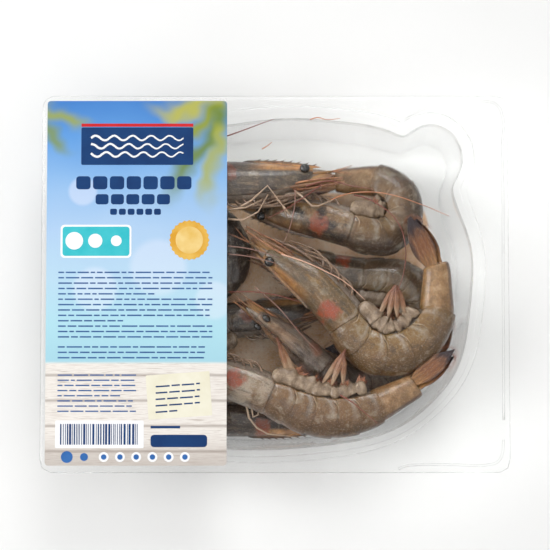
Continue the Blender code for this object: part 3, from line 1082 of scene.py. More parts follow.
@dataclass
class Pad:
    """The soaked absorbent pad on the tray's floor, in millimetres."""

    left: float = -58.0
    right: float = 66.0
    near: float = -42.0
    far: float = 41.5
    corner: float = 16.0
    base: float = 1.0
    thickness: float = 1.2
    wall: float = 0.5
    crimp: float = 0.06
    dot_height: float = 0.12
    dot_turns: float = 1.25
    sag: float = 0.22
    waviness: float = 0.006

    def build(self) -> None:
        """Builds the pad from a grid with pressed-in dots and a crimped, wavy edge."""
        pad = primitive(
            bpy.ops.mesh.primitive_grid_add, "soaked_pad", x_subdivisions=120, y_subdivisions=84, size=2.0
        )
        points = coordinates(pad)
        half = np.array(((self.right - self.left) / 2, (self.far - self.near) / 2))
        centre = np.array(((self.right + self.left) / 2, (self.far + self.near) / 2))
        flat = points[:, :2] * half
        over = np.maximum(np.abs(flat) - (half - self.corner), 0.0)
        reach = np.hypot(over[:, 0], over[:, 1])
        push = np.where(reach > 0, np.maximum(over.max(axis=1), 1e-9) / np.maximum(reach, 1e-9), 1.0)
        flat = np.sign(flat) * (np.minimum(np.abs(flat), half - self.corner) + over * push[:, None])
        rim = np.clip((1 - np.abs(points[:, :2]).max(axis=1)) / self.crimp, 0, 1)
        dots = np.cos(flat[:, 0] * self.dot_turns) * np.cos(flat[:, 1] * self.dot_turns)
        sag = self.sag * np.sin(flat[:, 0] * 0.11 + 1) * np.sin(flat[:, 1] * 0.13 + 2)
        rise = self.thickness * (0.45 + 0.55 * rim)
        z = self.base + rise + self.dot_height * np.minimum(dots, 0.3) * rim + sag * rim
        edge = 1.0 + self.waviness * np.sin(flat[:, 0] * 0.31 + flat[:, 1] * 0.23)
        place = np.column_stack((flat * edge[:, None] * 0.992 + centre, z)) * MM
        move_vertices(pad, place)
        face_outwards(pad)
        shelled(pad, self.wall * MM)
        smooth(pad, 60.0)
        values = {"Roughness": 0.5, "Sheen Weight": 0.2, "Coat Weight": 0.15, "Coat Roughness": 0.3}
        finish = Finish("soaked_pad", values)
        g = finish.graph
        spot = finish.place(own=False)
        cloud = g.noise(spot, 0.06, 4.0, 0.6)
        colour = g.ramp(cloud, ((0.32, "ecd6bd"), (0.5, "d9b085"), (0.66, "bb8a5e")))
        fibre = g.noise(g.stretched(spot, (1.0, 3.0, 1.0)), 1.1, 4.0)
        colour = g.tint(colour, "f0e6dc", g.smooth(fibre, 0.55, 0.35), 0.35)
        pressed = g.smooth(g.cells(spot, 0.4, 0.1), 0.28, 0.12)
        colour = g.tint(colour, "a37c5a", pressed, 0.2)
        finish.relief(g.less(fibre, g.product(pressed, 0.6)), strength=0.7, depth=0.0004)
        pad.data.materials.append(finish.wear({"Base Color": colour}))
        settle(pad, Slot.PAD, ["pad"])


# The label.


@dataclass
class Label:
    """The printed label: fields of colour on the label's own plate, and thin prints on it, in millimetres."""

    left: float = -93.6
    top: float = 75.0
    width: float = 73.9
    depth: float = 149.5
    level: float = 38.8
    ink: float = 0.04
    gap: float = 0.01

    def paper(self) -> Material:
        """The label's background: a soft sky over pale water and boards, with blurred green waves.

        Returns:
            The material.
        """
        finish = Finish("printed_sky", {"Roughness": 0.4, "Specular IOR Level": 0.25})
        g = finish.graph
        spot = finish.place(own=False)
        x, y, _ = g.axes(spot)
        across = g.over(g.less(x, self.left), self.width)
        down = g.over(g.less(self.top, y), self.depth)
        drift = g.noise(spot, 0.03, 2.0)
        soft = g.drift(down, drift, 0.1)
        stops = (
            (0.0, "4380c8"), (0.1, "5f9ada"), (0.22, "8ab6e4"), (0.36, "adcbea"), (0.5, "b6d6ea"),
            (0.62, "aedbe8"), (0.71, "a6d4e2"),
        )
        colour = g.ramp(soft, stops)
        way = g.noise(spot, 0.05, 2.0)
        for u, v, turn, reach, width, code, share in (
            (1.02, 0.02, 205, 0.62, 0.055, "8f9a2a", 0.95), (1.02, 0.03, 232, 0.7, 0.06, "6d8420", 0.9),
            (1.0, 0.0, 186, 0.5, 0.05, "b9b53a", 0.9), (0.98, 0.06, 258, 0.55, 0.05, "a9ac36", 0.8),
            (-0.02, 0.0, -28, 0.34, 0.05, "9aa436", 0.85), (-0.02, 0.04, -58, 0.3, 0.045, "7f9226", 0.8),
        ):
            dx = g.less(across, u)
            dy = g.product(g.less(v, down), self.depth / self.width)
            sine, cosine = math.sin(math.radians(turn)), math.cos(math.radians(turn))
            out = g.plus(g.product(dx, cosine), g.product(dy, sine))
            off = g.less(g.product(dy, cosine), g.product(dx, sine))
            off = g.drift(off, way, 0.3)
            ends = g.product(g.smooth(out, reach, reach * 0.55), g.smooth(out, -0.02, 0.05))
            mask = g.product(g.band(off, 0.0, width * 1.5), ends)
            colour = g.tint(colour, code, mask, share)
        for u, v, size, share in (
            (0.2, 0.25, 0.09, 0.3), (0.27, 0.52, 0.14, 0.3), (0.62, 0.46, 0.18, 0.25),
            (0.93, 0.55, 0.12, 0.28),
        ):
            dx = g.less(across, u)
            dy = g.product(g.less(down, v), self.depth / self.width)
            away = g.maths("SQRT", g.plus(g.product(dx, dx), g.product(dy, dy)))
            colour = g.tint(colour, "f4f1fb", g.smooth(away, size, size * 0.72), share)
        boards = g.maths("FRACT", g.product(g.less(down, 0.72), 14.5))
        grain = g.noise(g.stretched(spot, (0.12, 1.6, 1.0)), 0.9, 4.0)
        wood = g.ramp(grain, ((0.3, "dcd3cb"), (0.55, "f0ebe4"), (0.7, "c9beb5")))
        wood = g.tint(wood, "94857c", g.band(boards, 0.5, 0.1), 0.6)
        wood = g.tint(wood, "8d7c72", g.smooth(down, 0.9, 1.0), 0.45)
        colour = g.blend(g.smooth(down, 0.715, 0.725), colour, wood)
        finish.relief(g.noise(spot, 0.5, 2.0), strength=0.08, depth=0.0003)
        return finish.wear({"Base Color": colour})

    def ink_material(self, name: str, code: str, other: str) -> Material:
        """A printing ink with faint unevenness.

        Args:
            name: The material's name.
            code: Its colour code.
            other: The tone it drifts to.

        Returns:
            The material.
        """
        finish = Finish(name, {"Roughness": 0.4, "Specular IOR Level": 0.2})
        g = finish.graph
        spot = finish.place(own=False)
        value = g.noise(spot, 0.12, 3.0)
        finish.relief(g.noise(spot, 2.4, 2.0), strength=0.12, depth=0.0001)
        return finish.wear({"Base Color": g.ramp(value, ((0.35, code), (0.68, other)))})

    def spot(self, x: float, y: float, layer: int) -> np.ndarray:
        """The middle of an ink's layer at a place on the label, in metres."""
        height = self.level + self.ink * (layer + 0.5) + self.gap * (layer + 1)
        return np.array((self.left + x, self.top - y, height)) * MM

    def bar(
        self, x: float, y: float, width: float, depth: float, layer: int = 0, corner: float = 0.0,
        turn: float = 0.0,
    ) -> Object:
        """A thin printed bar.

        Args:
            x: Its left edge from the label's left.
            y: Its upper edge from the label's top.
            width: Its width.
            depth: Its depth.
            layer: How many inks lie under it.
            corner: Its corner radius.
            turn: Its turn in degrees.

        Returns:
            The bar.
        """
        bar = primitive(bpy.ops.mesh.primitive_cube_add, "bar", size=1.0)
        size = np.array((width, depth, self.ink)) * MM
        move_vertices(bar, coordinates(bar) * size)
        if corner:
            pick(bar)
            bpy.ops.object.mode_set(mode="EDIT")
            mesh = bmesh.from_edit_mesh(bar.data)
            bpy.ops.mesh.select_all(action="DESELECT")
            for edge in mesh.edges:
                if abs(edge.verts[0].co.z - edge.verts[1].co.z) > self.ink * MM / 2:
                    edge.select_set(True)
            bpy.ops.mesh.bevel(offset=corner * MM, segments=5)
            bpy.ops.object.mode_set(mode="OBJECT")
        middle = self.spot(x + width / 2, y + depth / 2, layer)
        bar.data.transform(Matrix.Translation(Vector(middle)) @ rotation(turn, "Z"))
        return bar

    def wave(
        self, x: float, y: float, width: float, height: float, pitch: float, shift: float
    ) -> Object:
        """A thin printed wave line.

        Args:
            x: Its left end from the label's left.
            y: Its middle from the label's top.
            width: Its width.
            height: Its crest's height.
            pitch: From crest to crest.
            shift: Where the wave starts, in radians.

        Returns:
            The line.
        """
        points = []
        for step in range(25):
            along = width * step / 24
            rise = height * math.sin(2 * math.pi * along / pitch + shift)
            points.append((self.left + x + along, self.top - y + rise, 0.0))
        line = tube("wave", points, 0.5, 0.6, 1, 3)
        place = coordinates(line)
        place[:, 2] = place[:, 2] * self.ink + self.level + self.ink * 1.5 + 2 * self.gap
        move_vertices(line, place * MM)
        return line

    def disc(self, x: float, y: float, radius: float, layer: int = 0, scallops: int = 0) -> Object:
        """A thin printed disc.

        Args:
            x: Its middle from the label's left.
            y: Its middle from the label's top.
            radius: Its radius.
            layer: How many inks lie under it.
            scallops: How many waves its edge has.

        Returns:
            The disc.
        """
        disc = primitive(
            bpy.ops.mesh.primitive_cylinder_add, "disc", vertices=96, radius=radius * MM, depth=self.ink * MM
        )
        points = coordinates(disc)
        if scallops:
            turn = np.arctan2(points[:, 1], points[:, 0])
            points[:, :2] *= (1 + 0.03 * np.cos(turn * scallops))[:, None]
        move_vertices(disc, points + self.spot(x, y, layer))
        return disc

    def lines(
        self, x: float, y: float, width: float, rows: int, pitch: float, seed: int, thick: float,
        turn: float = 0.0,
    ) -> list[Object]:
        """Rows of short bars in place of small print.

        Args:
            x: The block's left edge.
            y: The block's upper edge.
            width: The block's width.
            rows: How many rows.
            pitch: From row to row.
            seed: The seed of the bars' lengths.
            thick: A bar's depth.
            turn: Each bar's turn in degrees.

        Returns:
            The bars.
        """
        chance = np.random.default_rng(seed)
        bars = []
        lean = math.tan(math.radians(turn))
        for row in range(rows):
            at = 0.0
            end = width * (1.0 if row % 5 != 4 else chance.uniform(0.4, 0.8))
            while at < end - 1.0:
                length = min(float(chance.uniform(1.6, 6.5)), end - at)
                bars.append(self.bar(x + at, y + row * pitch - at * lean, length, thick, layer=1, turn=turn))
                at += length + 0.8
        return bars

    def print(self, name: str, parts: list[Object], ink: Material) -> None:
        """Joins the shapes of one ink.

        Args:
            name: The print's name.
            parts: Its shapes.
            ink: Its ink.
        """
        whole = joined(parts, name)
        coated(whole, ink)
        settle(whole, Slot.LABEL)

    def build(self) -> None:
        """Prints the label."""
        plate = frame["nodes"]["label"]
        coated(plate, self.paper())
        log.info("label: background printed on the CAD plate")
        navy = self.ink_material("navy_ink", "093468", "0e3d72")
        white = self.ink_material("white_ink", "f4f5f7", "fafafa")
        panel = [self.bar(14.0, 11.0, 46.0, 15.5, corner=0.6)]
        # Rows of blank bars for words: left edge, pitch, upper edge, width, depth, corner and count.
        for left, pitch, top, width, depth, corner, count in (
            (12.0, 6.9, 31.2, 5.9, 5.4, 1.3, 7),
            (20.0, 6.3, 38.6, 5.3, 4.2, 1.1, 5),
            (26.0, 3.6, 44.6, 2.8, 2.5, 0.7, 6),
        ):
            edges = (left + pitch * step for step in range(count))
            panel += [self.bar(edge, top, width, depth, corner=corner) for edge in edges]
        panel += [self.bar(43.0, 137.0, 23.0, 5.0, corner=1.4), self.bar(43.0, 133.4, 12.0, 1.0)]
        small = self.ink_material("small_print_ink", "2c5690", "3a66a0")
        dashes = self.lines(5.0, 70.5, 63.0, rows=13, pitch=2.2, seed=11, thick=0.55)
        dashes += self.lines(5.0, 101.0, 60.0, rows=3, pitch=2.2, seed=12, thick=0.55)
        dashes += self.lines(5.0, 112.5, 32.0, rows=8, pitch=2.1, seed=13, thick=0.5)
        self.print("label_small_print", dashes, small)
        self.print("label_navy_print", panel, navy)
        red = [self.bar(14.0, 9.4, 46.0, 1.3)]
        self.print("label_red_line", red, self.ink_material("red_ink", "c81f26", "d0282e"))
        marks = [
            self.wave(18.0, 15.4 + row * 3.4, 38.0, height=1.0, pitch=7.6, shift=row * 1.3)
            for row in range(3)
        ]
        marks += [self.bar(4.2, 131.2, 36.0, 11.2, corner=0.5), self.bar(5.8, 51.2, 29.0, 13.6, corner=1.6)]
        marks += [self.disc(11.4 + 8.6 * step, 57.8, 3.6 - 0.7 * step, layer=2) for step in range(3)]
        marks += [self.disc(24.0 + step * 6.6, 146.0, 2.0) for step in range(6)]
        self.print("label_white_print", marks, white)
        teal = [self.bar(6.6, 52.0, 27.4, 12.0, layer=1, corner=1.2)]
        self.print("label_teal_block", teal, self.ink_material("teal_ink", "2fb9c4", "45c4cd"))
        blue = [self.disc(9.0, 146.0, 2.4), self.disc(16.0, 146.0, 1.6)]
        blue += [self.disc(24.0 + step * 6.6, 146.0, 1.1, layer=1) for step in range(6)]
        self.print("label_blue_dots", blue, self.ink_material("blue_ink", "2c62a6", "3a70b4"))
        seal = [self.disc(58.5, 57.5, 8.0, scallops=24)]
        self.print("label_gold_seal", seal, self.ink_material("gold_ink", "d99e2e", "e9bf5e"))
        middle = [self.disc(58.5, 57.5, 5.6, layer=1)]
        self.print("label_seal_middle", middle, self.ink_material("pale_gold_ink", "eed089", "e2b653"))
        note = [self.bar(41.5, 112.0, 26.0, 18.0, corner=0.4, turn=4.0)]
        self.print("label_note", note, self.ink_material("cream_ink", "e8e3cb", "f0ecd9"))
        notes = self.lines(45.0, 117.0, 18.0, rows=5, pitch=2.6, seed=14, thick=0.6, turn=4.0)
        self.print("label_note_lines", notes, navy)
        chance = np.random.default_rng(5)
        stripes, at = [], 6.2
        while at < 37.6:
            wide = float(chance.choice((0.3, 0.3, 0.55, 0.85)))
            stripes.append(self.bar(at, 132.6, wide, 8.4, layer=1))
            at += wide + float(chance.choice((0.3, 0.45, 0.6)))
        self.print("label_stripes", stripes, navy)


# The shrimp.


@dataclass
class ShrimpPattern:
    """One shrimp stretched out along +X with its back up, in millimetres, from which all are bent."""

    hind: float = HIND
    segment: float = SEGMENT
    sixth: float = 19.0
    head: tuple[Section, ...] = (
        (8.6, 6.7, -0.4, 2.9), (11.5, 7.1, -1.7, 3.8), (15.0, 7.5, -3.2, 4.7), (20.0, 8.2, -5.4, 6.0),
        (27.0, 8.9, -7.6, 7.2), (35.0, 9.4, -9.2, 8.0), (44.0, 9.8, -9.8, 8.25), (50.0, 9.9, -9.4, 8.1),
        (52.9, 10.0, -8.8, 7.95),
    )
    ends: tuple[tuple[float, float, float], ...] = (
        (10.0, -8.8, 8.0), (10.8, -9.8, 7.8), (11.5, -10.4, 7.8), (11.5, -10.2, 7.6), (10.8, -9.6, 7.2),
        (9.4, -8.2, 6.4),
    )
    core: tuple[Section, ...] = (
        (2.0, 5.8, 3.6, 0.9), (7.0, 6.3, 0.8, 2.3), (14.0, 7.0, -2.0, 3.7), (23.0, 8.0, -5.6, 6.0),
        (35.0, 8.8, -8.2, 7.2), (46.0, 9.2, -8.6, 7.5), (54.0, 9.3, -7.9, 7.2), (62.0, 10.1, -7.6, 7.1),
        (71.0, 10.8, -7.8, 7.0), (80.0, 10.8, -7.6, 6.8), (90.0, 10.1, -7.0, 6.4), (98.0, 8.6, -6.0, 5.6),
        (106.0, 7.0, -4.6, 4.4), (116.0, 5.6, -3.8, 3.2), (120.6, 3.2, -1.2, 1.8),
    )
    stalks: tuple[tuple[tuple[Point, ...], float, str], ...] = (
        (((16.0, 1.7, 3.0), (10.0, 1.9, 3.9), (5.0, 1.6, 4.7), (0.6, 1.3, 5.2)), 1.0, "scale"),
        (((18.0, 3.6, -1.6), (12.0, 3.8, -0.9), (6.0, 3.2, 0.4), (1.0, 2.6, 1.6)), 0.95, "scale"),
        (((16.5, 4.0, -0.2), (11.0, 4.3, 0.8), (3.0, 3.6, 1.9), (-4.0, 3.0, 2.4)), 0.5, "feeler"),
        (((17.0, 2.8, -2.6), (10.0, 3.0, -2.2), (2.0, 2.5, -0.5), (-5.0, 2.1, 1.0)), 0.4, "feeler"),
    )
    sides: int = 20
    head_wall: float = 0.3
    plate_wall: float = 0.26
    leaf_wall: float = 0.22
    lobe_radius: tuple[float, float] = (3.6, 4.6)
    lobe_shape: Point = (0.86, 0.5, 1.1)
    lobe_voxel: float = 0.74
    looks: dict[str, Material] = field(default_factory=dict)

    def ring_loft(self, name: str, sections: Sequence[Section], opening: float) -> Object:
        """A body of rings, extruded from a circle and resized section by section.

        Args:
            name: The object's name.
            sections: Place along, top, bottom and half width of each ring.
            opening: How much of the belly is left open, as a share of the half height.

        Returns:
            The loft, not yet rounded.
        """
        fill = "NGON" if opening <= 0 else "NOTHING"
        body = primitive(
            bpy.ops.mesh.primitive_circle_add, name, vertices=self.sides, radius=1.0, fill_type=fill,
            rotation=(0.0, math.pi / 2, 0.0),
        )
        bpy.ops.object.mode_set(mode="EDIT")
        if opening > 0:
            mesh = bmesh.from_edit_mesh(body.data)
            for vert in mesh.verts:
                vert.select_set(vert.co.z < opening - 1.0)
            mesh.select_flush_mode()
            bpy.ops.mesh.delete(type="VERT")
        bpy.ops.mesh.select_all(action="SELECT")
        before: Section | None = None
        for x, top, bottom, side in sections:
            middle, reach = (top + bottom) / 2, (top - bottom) / 2
            if before is None:
                shift, scale = Vector((x, 0.0, middle)), (1.0, side, reach)
                bpy.ops.transform.translate(value=shift)
            else:
                old_middle, old_reach = (before[1] + before[2]) / 2, (before[1] - before[2]) / 2
                shift = Vector((x - before[0], 0.0, middle - old_middle))
                scale = (1.0, side / before[3], reach / old_reach)
                bpy.ops.mesh.extrude_region_move(TRANSFORM_OT_translate={"value": shift})
            bpy.ops.transform.resize(value=scale, center_override=(x, 0.0, middle))
            before = (x, top, bottom, side)
        bpy.ops.object.mode_set(mode="OBJECT")
        face_outwards(body)
        return body

    def worn(self, obj: Object, look: str) -> Object:
        """Gives a part its look and keeps its place for the pattern."""
        coated(obj, self.looks[look])
        if obj.data.attributes.get(PLACE) is None:
            remember(obj)
        obj.data.shade_smooth()
        return obj

    def carapace(self) -> Object:
        """The head shell, open under the belly, its lower edge rolled in."""
        shell = self.ring_loft("carapace", self.head, opening=0.22)
        rounded(shell, 2)
        shelled(shell, self.head_wall)
        return self.worn(shell, "shell")

    def plates(self) -> list[Object]:
        """The five plates of the abdomen, each lapping over the next, with round lower lobes.

        Returns:
            The plates.
        """
        made = []
        for index in range(5):
            start = self.hind + self.segment * index
            (top_a, low_a, side_a), (top_b, low_b, side_b) = self.ends[index], self.ends[index + 1]
            sections = (
                (start - 1.4, top_a - 0.75, low_a + 1.6, side_a - 0.7),
                (start + 0.6, top_a - 0.35, low_a + 0.3, side_a - 0.35),
                (
                    start + 3.6, (top_a * 2 + top_b) / 3 - 0.05, (low_a + low_b) / 2 - 0.3,
                    (side_a * 2 + side_b) / 3,
                ),
                (
                    start + 7.2, (top_a + top_b * 2) / 3 + 0.1, low_b - 0.2,
                    (side_a + side_b * 2) / 3 + 0.1,
                ),
                (start + self.segment + 0.5, top_b + 0.12, low_b + 0.2, side_b + 0.12),
                (start + self.segment + 0.95, top_b + 0.05, low_b + 0.9, side_b + 0.02),
            )
            plate = self.ring_loft("plate", sections, opening=0.3)
            points = coordinates(plate)
            low = points[:, 2] < -6.0
            late = points[:, 0] > start + self.segment
            early = points[:, 0] < start + 1.0
            points[low & late, 2] += 1.5
            points[low & early, 2] += 0.9
            hind = points[:, 0] > start + 5.0
            points[hind, 0] += 1.6 - 1.6 * ((points[hind, 2] + 1.0) / 9.5) ** 2
            move_vertices(plate, points)
            rounded(plate, 2)
            shelled(plate, self.plate_wall)
            made.append(self.worn(plate, "shell"))
        return made

    def sixth_segment(self) -> Object:
        """The long last segment, closed all round, ending in a blunt spine over the fan."""
        x = self.hind + 5 * self.segment
        sections = (
            (x - 1.2, 8.5, -6.0, 5.6), (x + 1.0, 8.6, -6.2, 5.6), (x + 6.0, 8.0, -5.8, 5.0),
            (x + 13.0, 7.0, -5.1, 4.3), (x + 18.4, 6.5, -4.8, 4.0), (x + 19.4, 6.2, -4.3, 3.7),
            (x + 19.8, 5.2, -3.4, 3.0),
        )
        body = rounded(self.ring_loft("sixth", sections, opening=0.0), 1)
        return self.worn(body, "shell")

    def flesh(self) -> Object:
        """The soft body inside the shells, which shows at the belly and between the plates."""
        return self.worn(rounded(self.ring_loft("flesh", self.core, opening=0.0), 1), "flesh")

    def crest(self) -> list[Object]:
        """The toothed crest over the head and its rostrum.

        Returns:
            The blade and its teeth.
        """
        outline = [(38.0, 8.2), (30.0, 7.4), (14.0, 6.2), (6.0, 7.1)]
        ridge = []
        for step in range(17):
            share = step / 16
            x = 6.0 + 32.0 * share
            ridge.append((x, 7.3 + 2.6 * share + 0.9 * math.sin(math.pi * share)))
        outline += ridge[1:-1] + [(38.0, 9.5)]
        data = bpy.data.curves.new("crest", "CURVE")
        data.dimensions = "2D"
        data.fill_mode = "BOTH"
        data.extrude = 0.32
        data.bevel_depth = 0.16
        data.bevel_resolution = 1
        spline = data.splines.new("POLY")
        spline.points.add(len(outline) - 1)
        for point, (x, z) in zip(spline.points, outline):
            point.co = (x, z, 0.0, 1.0)
        spline.use_cyclic_u = True
        blade = placed("crest", data)
        pick(blade)
        bpy.ops.object.convert(target="MESH")
        blade = bpy.context.active_object
        blade.data.transform(Matrix.Rotation(math.pi / 2, 4, "X"))
        modified(blade, "WELD", merge_threshold=0.001)
        parts = [self.worn(blade, "shell")]
        for tooth in range(8):
            share = (tooth + 0.4) / 8
            x, z = 7.0 + 27.0 * share, 7.35 + 2.2 * share + 0.95 * math.sin(math.pi * (0.05 + share * 0.85))
            spine = primitive(
                bpy.ops.mesh.primitive_cone_add, "tooth", vertices=8, radius1=0.42, radius2=0.03, depth=2.4,
                location=(x - 0.5, 0.0, z + 0.3), rotation=(0.0, math.radians(-64.0), 0.0),
            )
            parts.append(self.worn(spine, "tooth"))
        return parts

    def leaf(
        self, name: str, length: float, width: float, root: float, point: float, camber: float
    ) -> Object:
        """A leaf-shaped blade along +X with a mid rib, made from a grid.

        Args:
            name: The blade's name.
            length: Its length.
            width: Its width.
            root: Its width at the root.
            point: How pointed its tip is: 0.5 is round, over 1 is sharp.
            camber: How far its edges curl.

        Returns:
            The blade, flat in the XY plane.
        """
        leaf = primitive(bpy.ops.mesh.primitive_grid_add, name, x_subdivisions=13, y_subdivisions=6, size=1.0)
        points = coordinates(leaf)
        along, across = points[:, 0] + 0.5, points[:, 1] * 2
        rise = np.clip(along / 0.4, 0, 1)
        half = (root + (width - root) * rise * rise * (3 - 2 * rise)) / 2
        half = half * (1 - np.clip((along - 0.45) / 0.55, 0, 1) ** 2.2) ** point
        spread = np.sin(across * math.pi / 2) * 0.4 + across * 0.6
        rib = 0.28 * np.exp(-((across / 0.22) ** 2)) * (1 - along)
        z = -camber * across**2 * half / (width / 2) + rib
        move_vertices(leaf, np.column_stack((along * length, spread * np.maximum(half, 0.12), z)))
        face_outwards(leaf)
        shelled(leaf, self.leaf_wall, 0.0)
        rounded(leaf, 1)
        remember(leaf)
        return leaf

    def fringe(self, length: float, width: float, count: int, reach: float, seed: int) -> Object:
        """The fine bristles round a blade's end.

        Args:
            length: The blade's length.
            width: Its width.
            count: How many bristles.
            reach: A bristle's length.
            seed: The seed of their spread.

        Returns:
            The bristles in one object, flat in the XY plane.
        """
        chance = np.random.default_rng(seed)
        hair = primitive(
            bpy.ops.mesh.primitive_cone_add, "bristle", vertices=3, radius1=0.08, radius2=0.01, depth=1.0,
            rotation=(0.0, math.pi / 2, 0.0), location=(0.5, 0.0, 0.0),
        )
        hairs = []
        for index in range(count):
            turn = -1.25 + 2.5 * index / (count - 1)
            x = length * (0.62 + 0.37 * math.cos(turn))
            y = width * 0.46 * math.sin(turn)
            copy = placed("bristle", hair.data.copy())
            size = reach * float(chance.uniform(0.6, 1.1))
            copy.data.transform(
                Matrix.Translation((x, y, 0.0))
                @ Matrix.Rotation(turn * 0.75 + float(chance.normal(0, 0.07)), 4, "Z")
                @ Matrix.Diagonal((size, 1.0, 1.0, 1.0))
            )
            hairs.append(copy)
        hairs.append(hair)
        whole = joined(hairs, "fringe")
        remember(whole)
        return whole

    def posed(self, blades: list[Object], pose: Matrix) -> list[Object]:
        """Turns a blade and its fringe and sets them at their place."""
        for blade in blades:
            blade.data.transform(pose)
        return blades

    def fan(self) -> list[Object]:
        """The telson and the four ribbed blades beside it, half closed as on a limp tail.

        Returns:
            The blades and their fringes.
        """
        x = self.hind + 5 * self.segment + self.sixth - 1.6
        layout = (
            (19.0, 5.4, 0.0, 0.0, 3.6, 0.0, 1.2),
            (22.5, 8.4, 62.0, 3.0, 1.2, 1.5, 1.2),
            (22.5, 8.4, -62.0, -3.0, 1.2, -1.5, 1.2),
            (24.5, 9.0, 80.0, 5.0, -1.0, 2.3, 1.3),
            (24.5, 9.0, -80.0, -5.0, -1.0, -2.3, 1.3),
        )
        parts = []
        for index, (length, width, turn, splay, z, y, point) in enumerate(layout):
            pose = (
                Matrix.Translation((x, y, z))
                @ rotation(splay, "Z")
                @ rotation(turn, "X")
            )
            blade = self.leaf("blade", length, width, root=3.6, point=point, camber=0.6)
            blades = [self.worn(blade, "fan")]
            if index:
                fringe = self.fringe(length, width, count=30, reach=1.6, seed=index)
                blades.append(self.worn(fringe, "bristle"))
            parts += self.posed(blades, pose)
        return parts

    def scales(self) -> list[Object]:
        """The two ribbed scales beside the rostrum, the short feelers and their thick roots.

        Returns:
            The parts.
        """
        parts = []
        for side in (-1, 1):
            scale = self.worn(self.leaf("scale", 17.0, 5.0, root=2.8, point=0.8, camber=0.4), "scale")
            scale.data.transform(
                Matrix.Translation((16.6, 2.6 * side, 1.4))
                @ Matrix.Rotation(math.pi, 4, "Z")
                @ rotation(-7.0, "Y")
                @ rotation(58.0 * side, "X")
            )
            parts.append(scale)
            for path, radius, look in self.stalks:
                parts.append(self.worn(tube("stalk", aside(path, side), radius, 0.4), look))
            for lift in (0.6, -0.6):
                whip = aside(((1.2, 1.3, 5.2), (-3.0, 1.5, 5.6 + lift), (-8.0, 2.2, 6.0 + lift * 3)), side)
                parts.append(self.worn(tube("whip", whip, 0.26, 0.3, 1), "feeler"))
        return parts

    def eyes(self) -> list[Object]:
        """Two black eyes on short stalks.

        Returns:
            The eyes and stalks.
        """
        parts = []
        for side in (-1, 1):
            eye = primitive(
                bpy.ops.mesh.primitive_uv_sphere_add, "eye", segments=24, ring_count=14, radius=2.0,
                location=(12.0, 3.5 * side, 6.2), scale=(1.05, 0.9, 1.0),
            )
            parts.append(self.worn(eye, "eye"))
            path = aside(((15.4, 1.8, 4.6), (13.6, 2.6, 5.4), (12.6, 3.1, 5.9)), side)
            parts.append(self.worn(tube("eye_stalk", path, 1.3, 1.1), "scale"))
        return parts

    def legs(self) -> list[Object]:
        """Five pairs of walking legs folded forwards under the head, and the feet of the mouth.

        Returns:
            The legs.
        """
        parts = []
        chance = np.random.default_rng(17)
        for pair in range(5):
            x = 30.0 + 4.0 * pair
            for side in (-1, 1):
                y = side * (2.6 + 0.5 * (pair % 3))
                lift = float(chance.uniform(-0.5, 0.5))
                path = (
                    (x, y, -6.6), (x - 2.5, y + side * 0.5, -8.9 + lift),
                    (x - 7.0, y + side * 0.3, -9.3 + lift), (x - 12.5, y, -7.6 + lift),
                    (x - 17.5, y - side * 0.5, -5.6 + lift),
                )
                parts.append(self.worn(tube("leg", path, 0.55, 0.35), "limb"))
        for side in (-1, 1):
            path = aside(((26.0, 2.2, -5.8), (19.0, 2.6, -5.4), (11.0, 2.2, -3.4), (5.0, 1.6, -1.4)), side)
            parts.append(self.worn(tube("jaw_foot", path, 0.8, 0.4), "limb"))
        return parts

    def paddles(self) -> list[Object]:
        """The swimming legs: soft pale lobes in a row, and wet pointed paddles that hang from them.

        Returns:
            The lobes, paddles and bristles.
        """
        parts = []
        lumps = []
        chance = np.random.default_rng(29)
        for index in range(5):
            x = self.hind + (index + 0.4) * self.segment
            size = 1.0 - 0.07 * index
            for side in (-1, 1):
                for lobe in range(2):
                    lump = primitive(
                        bpy.ops.mesh.primitive_ico_sphere_add, "lobe", subdivisions=3,
                        radius=size * float(chance.uniform(*self.lobe_radius)),
                    )
                    drop = 8.0 + float(chance.uniform(0.0, 1.8))
                    lump.data.transform(
                        Matrix.Translation((x - 2.6 + 4.7 * lobe, 4.3 * side, -drop))
                        @ rotation(float(chance.uniform(-24.0, 24.0)), "Y")
                        @ Matrix.Diagonal((*self.lobe_shape, 1.0))
                    )
                    lumps.append(lump)
                lean = float(chance.uniform(-14.0, 14.0))
                for turn, length in ((24.0 + lean, 9.5), (52.0 + lean, 8.0)):
                    pose = (
                        Matrix.Translation((x + 0.6, 3.2 * side, -8.8))
                        @ rotation(turn, "Y")
                        @ rotation(80.0 * side, "X")
                        @ Matrix.Scale(size, 4)
                    )
                    blade = self.leaf("paddle", length, 3.2, root=2.2, point=1.3, camber=0.3)
                    blades = [self.worn(blade, "paddle")]
                    fringe = self.fringe(length, 3.0, count=12, reach=1.6, seed=index + 9)
                    blades.append(self.worn(fringe, "bristle"))
                    parts += self.posed(blades, pose)
        band = modified(joined(lumps, "lobes"), "REMESH", mode="VOXEL", voxel_size=self.lobe_voxel)
        points = coordinates(band)
        ripple = 0.16 * np.sin(points[:, [1, 2, 0]] * 1.7 + 1.0) + 0.05 * np.sin(points[:, [2, 0, 1]] * 4.1)
        move_vertices(band, points + ripple)
        modified(band, "SMOOTH", factor=0.5, iterations=3)
        parts.append(self.worn(band, "lobe"))
        return parts

    def build(self) -> Object:
        """Builds the whole pattern as one object."""
        parts = [self.carapace(), *self.plates(), self.sixth_segment(), self.flesh(), *self.crest()]
        parts += [*self.fan(), *self.scales(), *self.eyes(), *self.legs(), *self.paddles()]
        whole = joined(parts, "shrimp_pattern")
        log.info("shrimp pattern: %d faces", len(whole.data.polygons))
        return whole


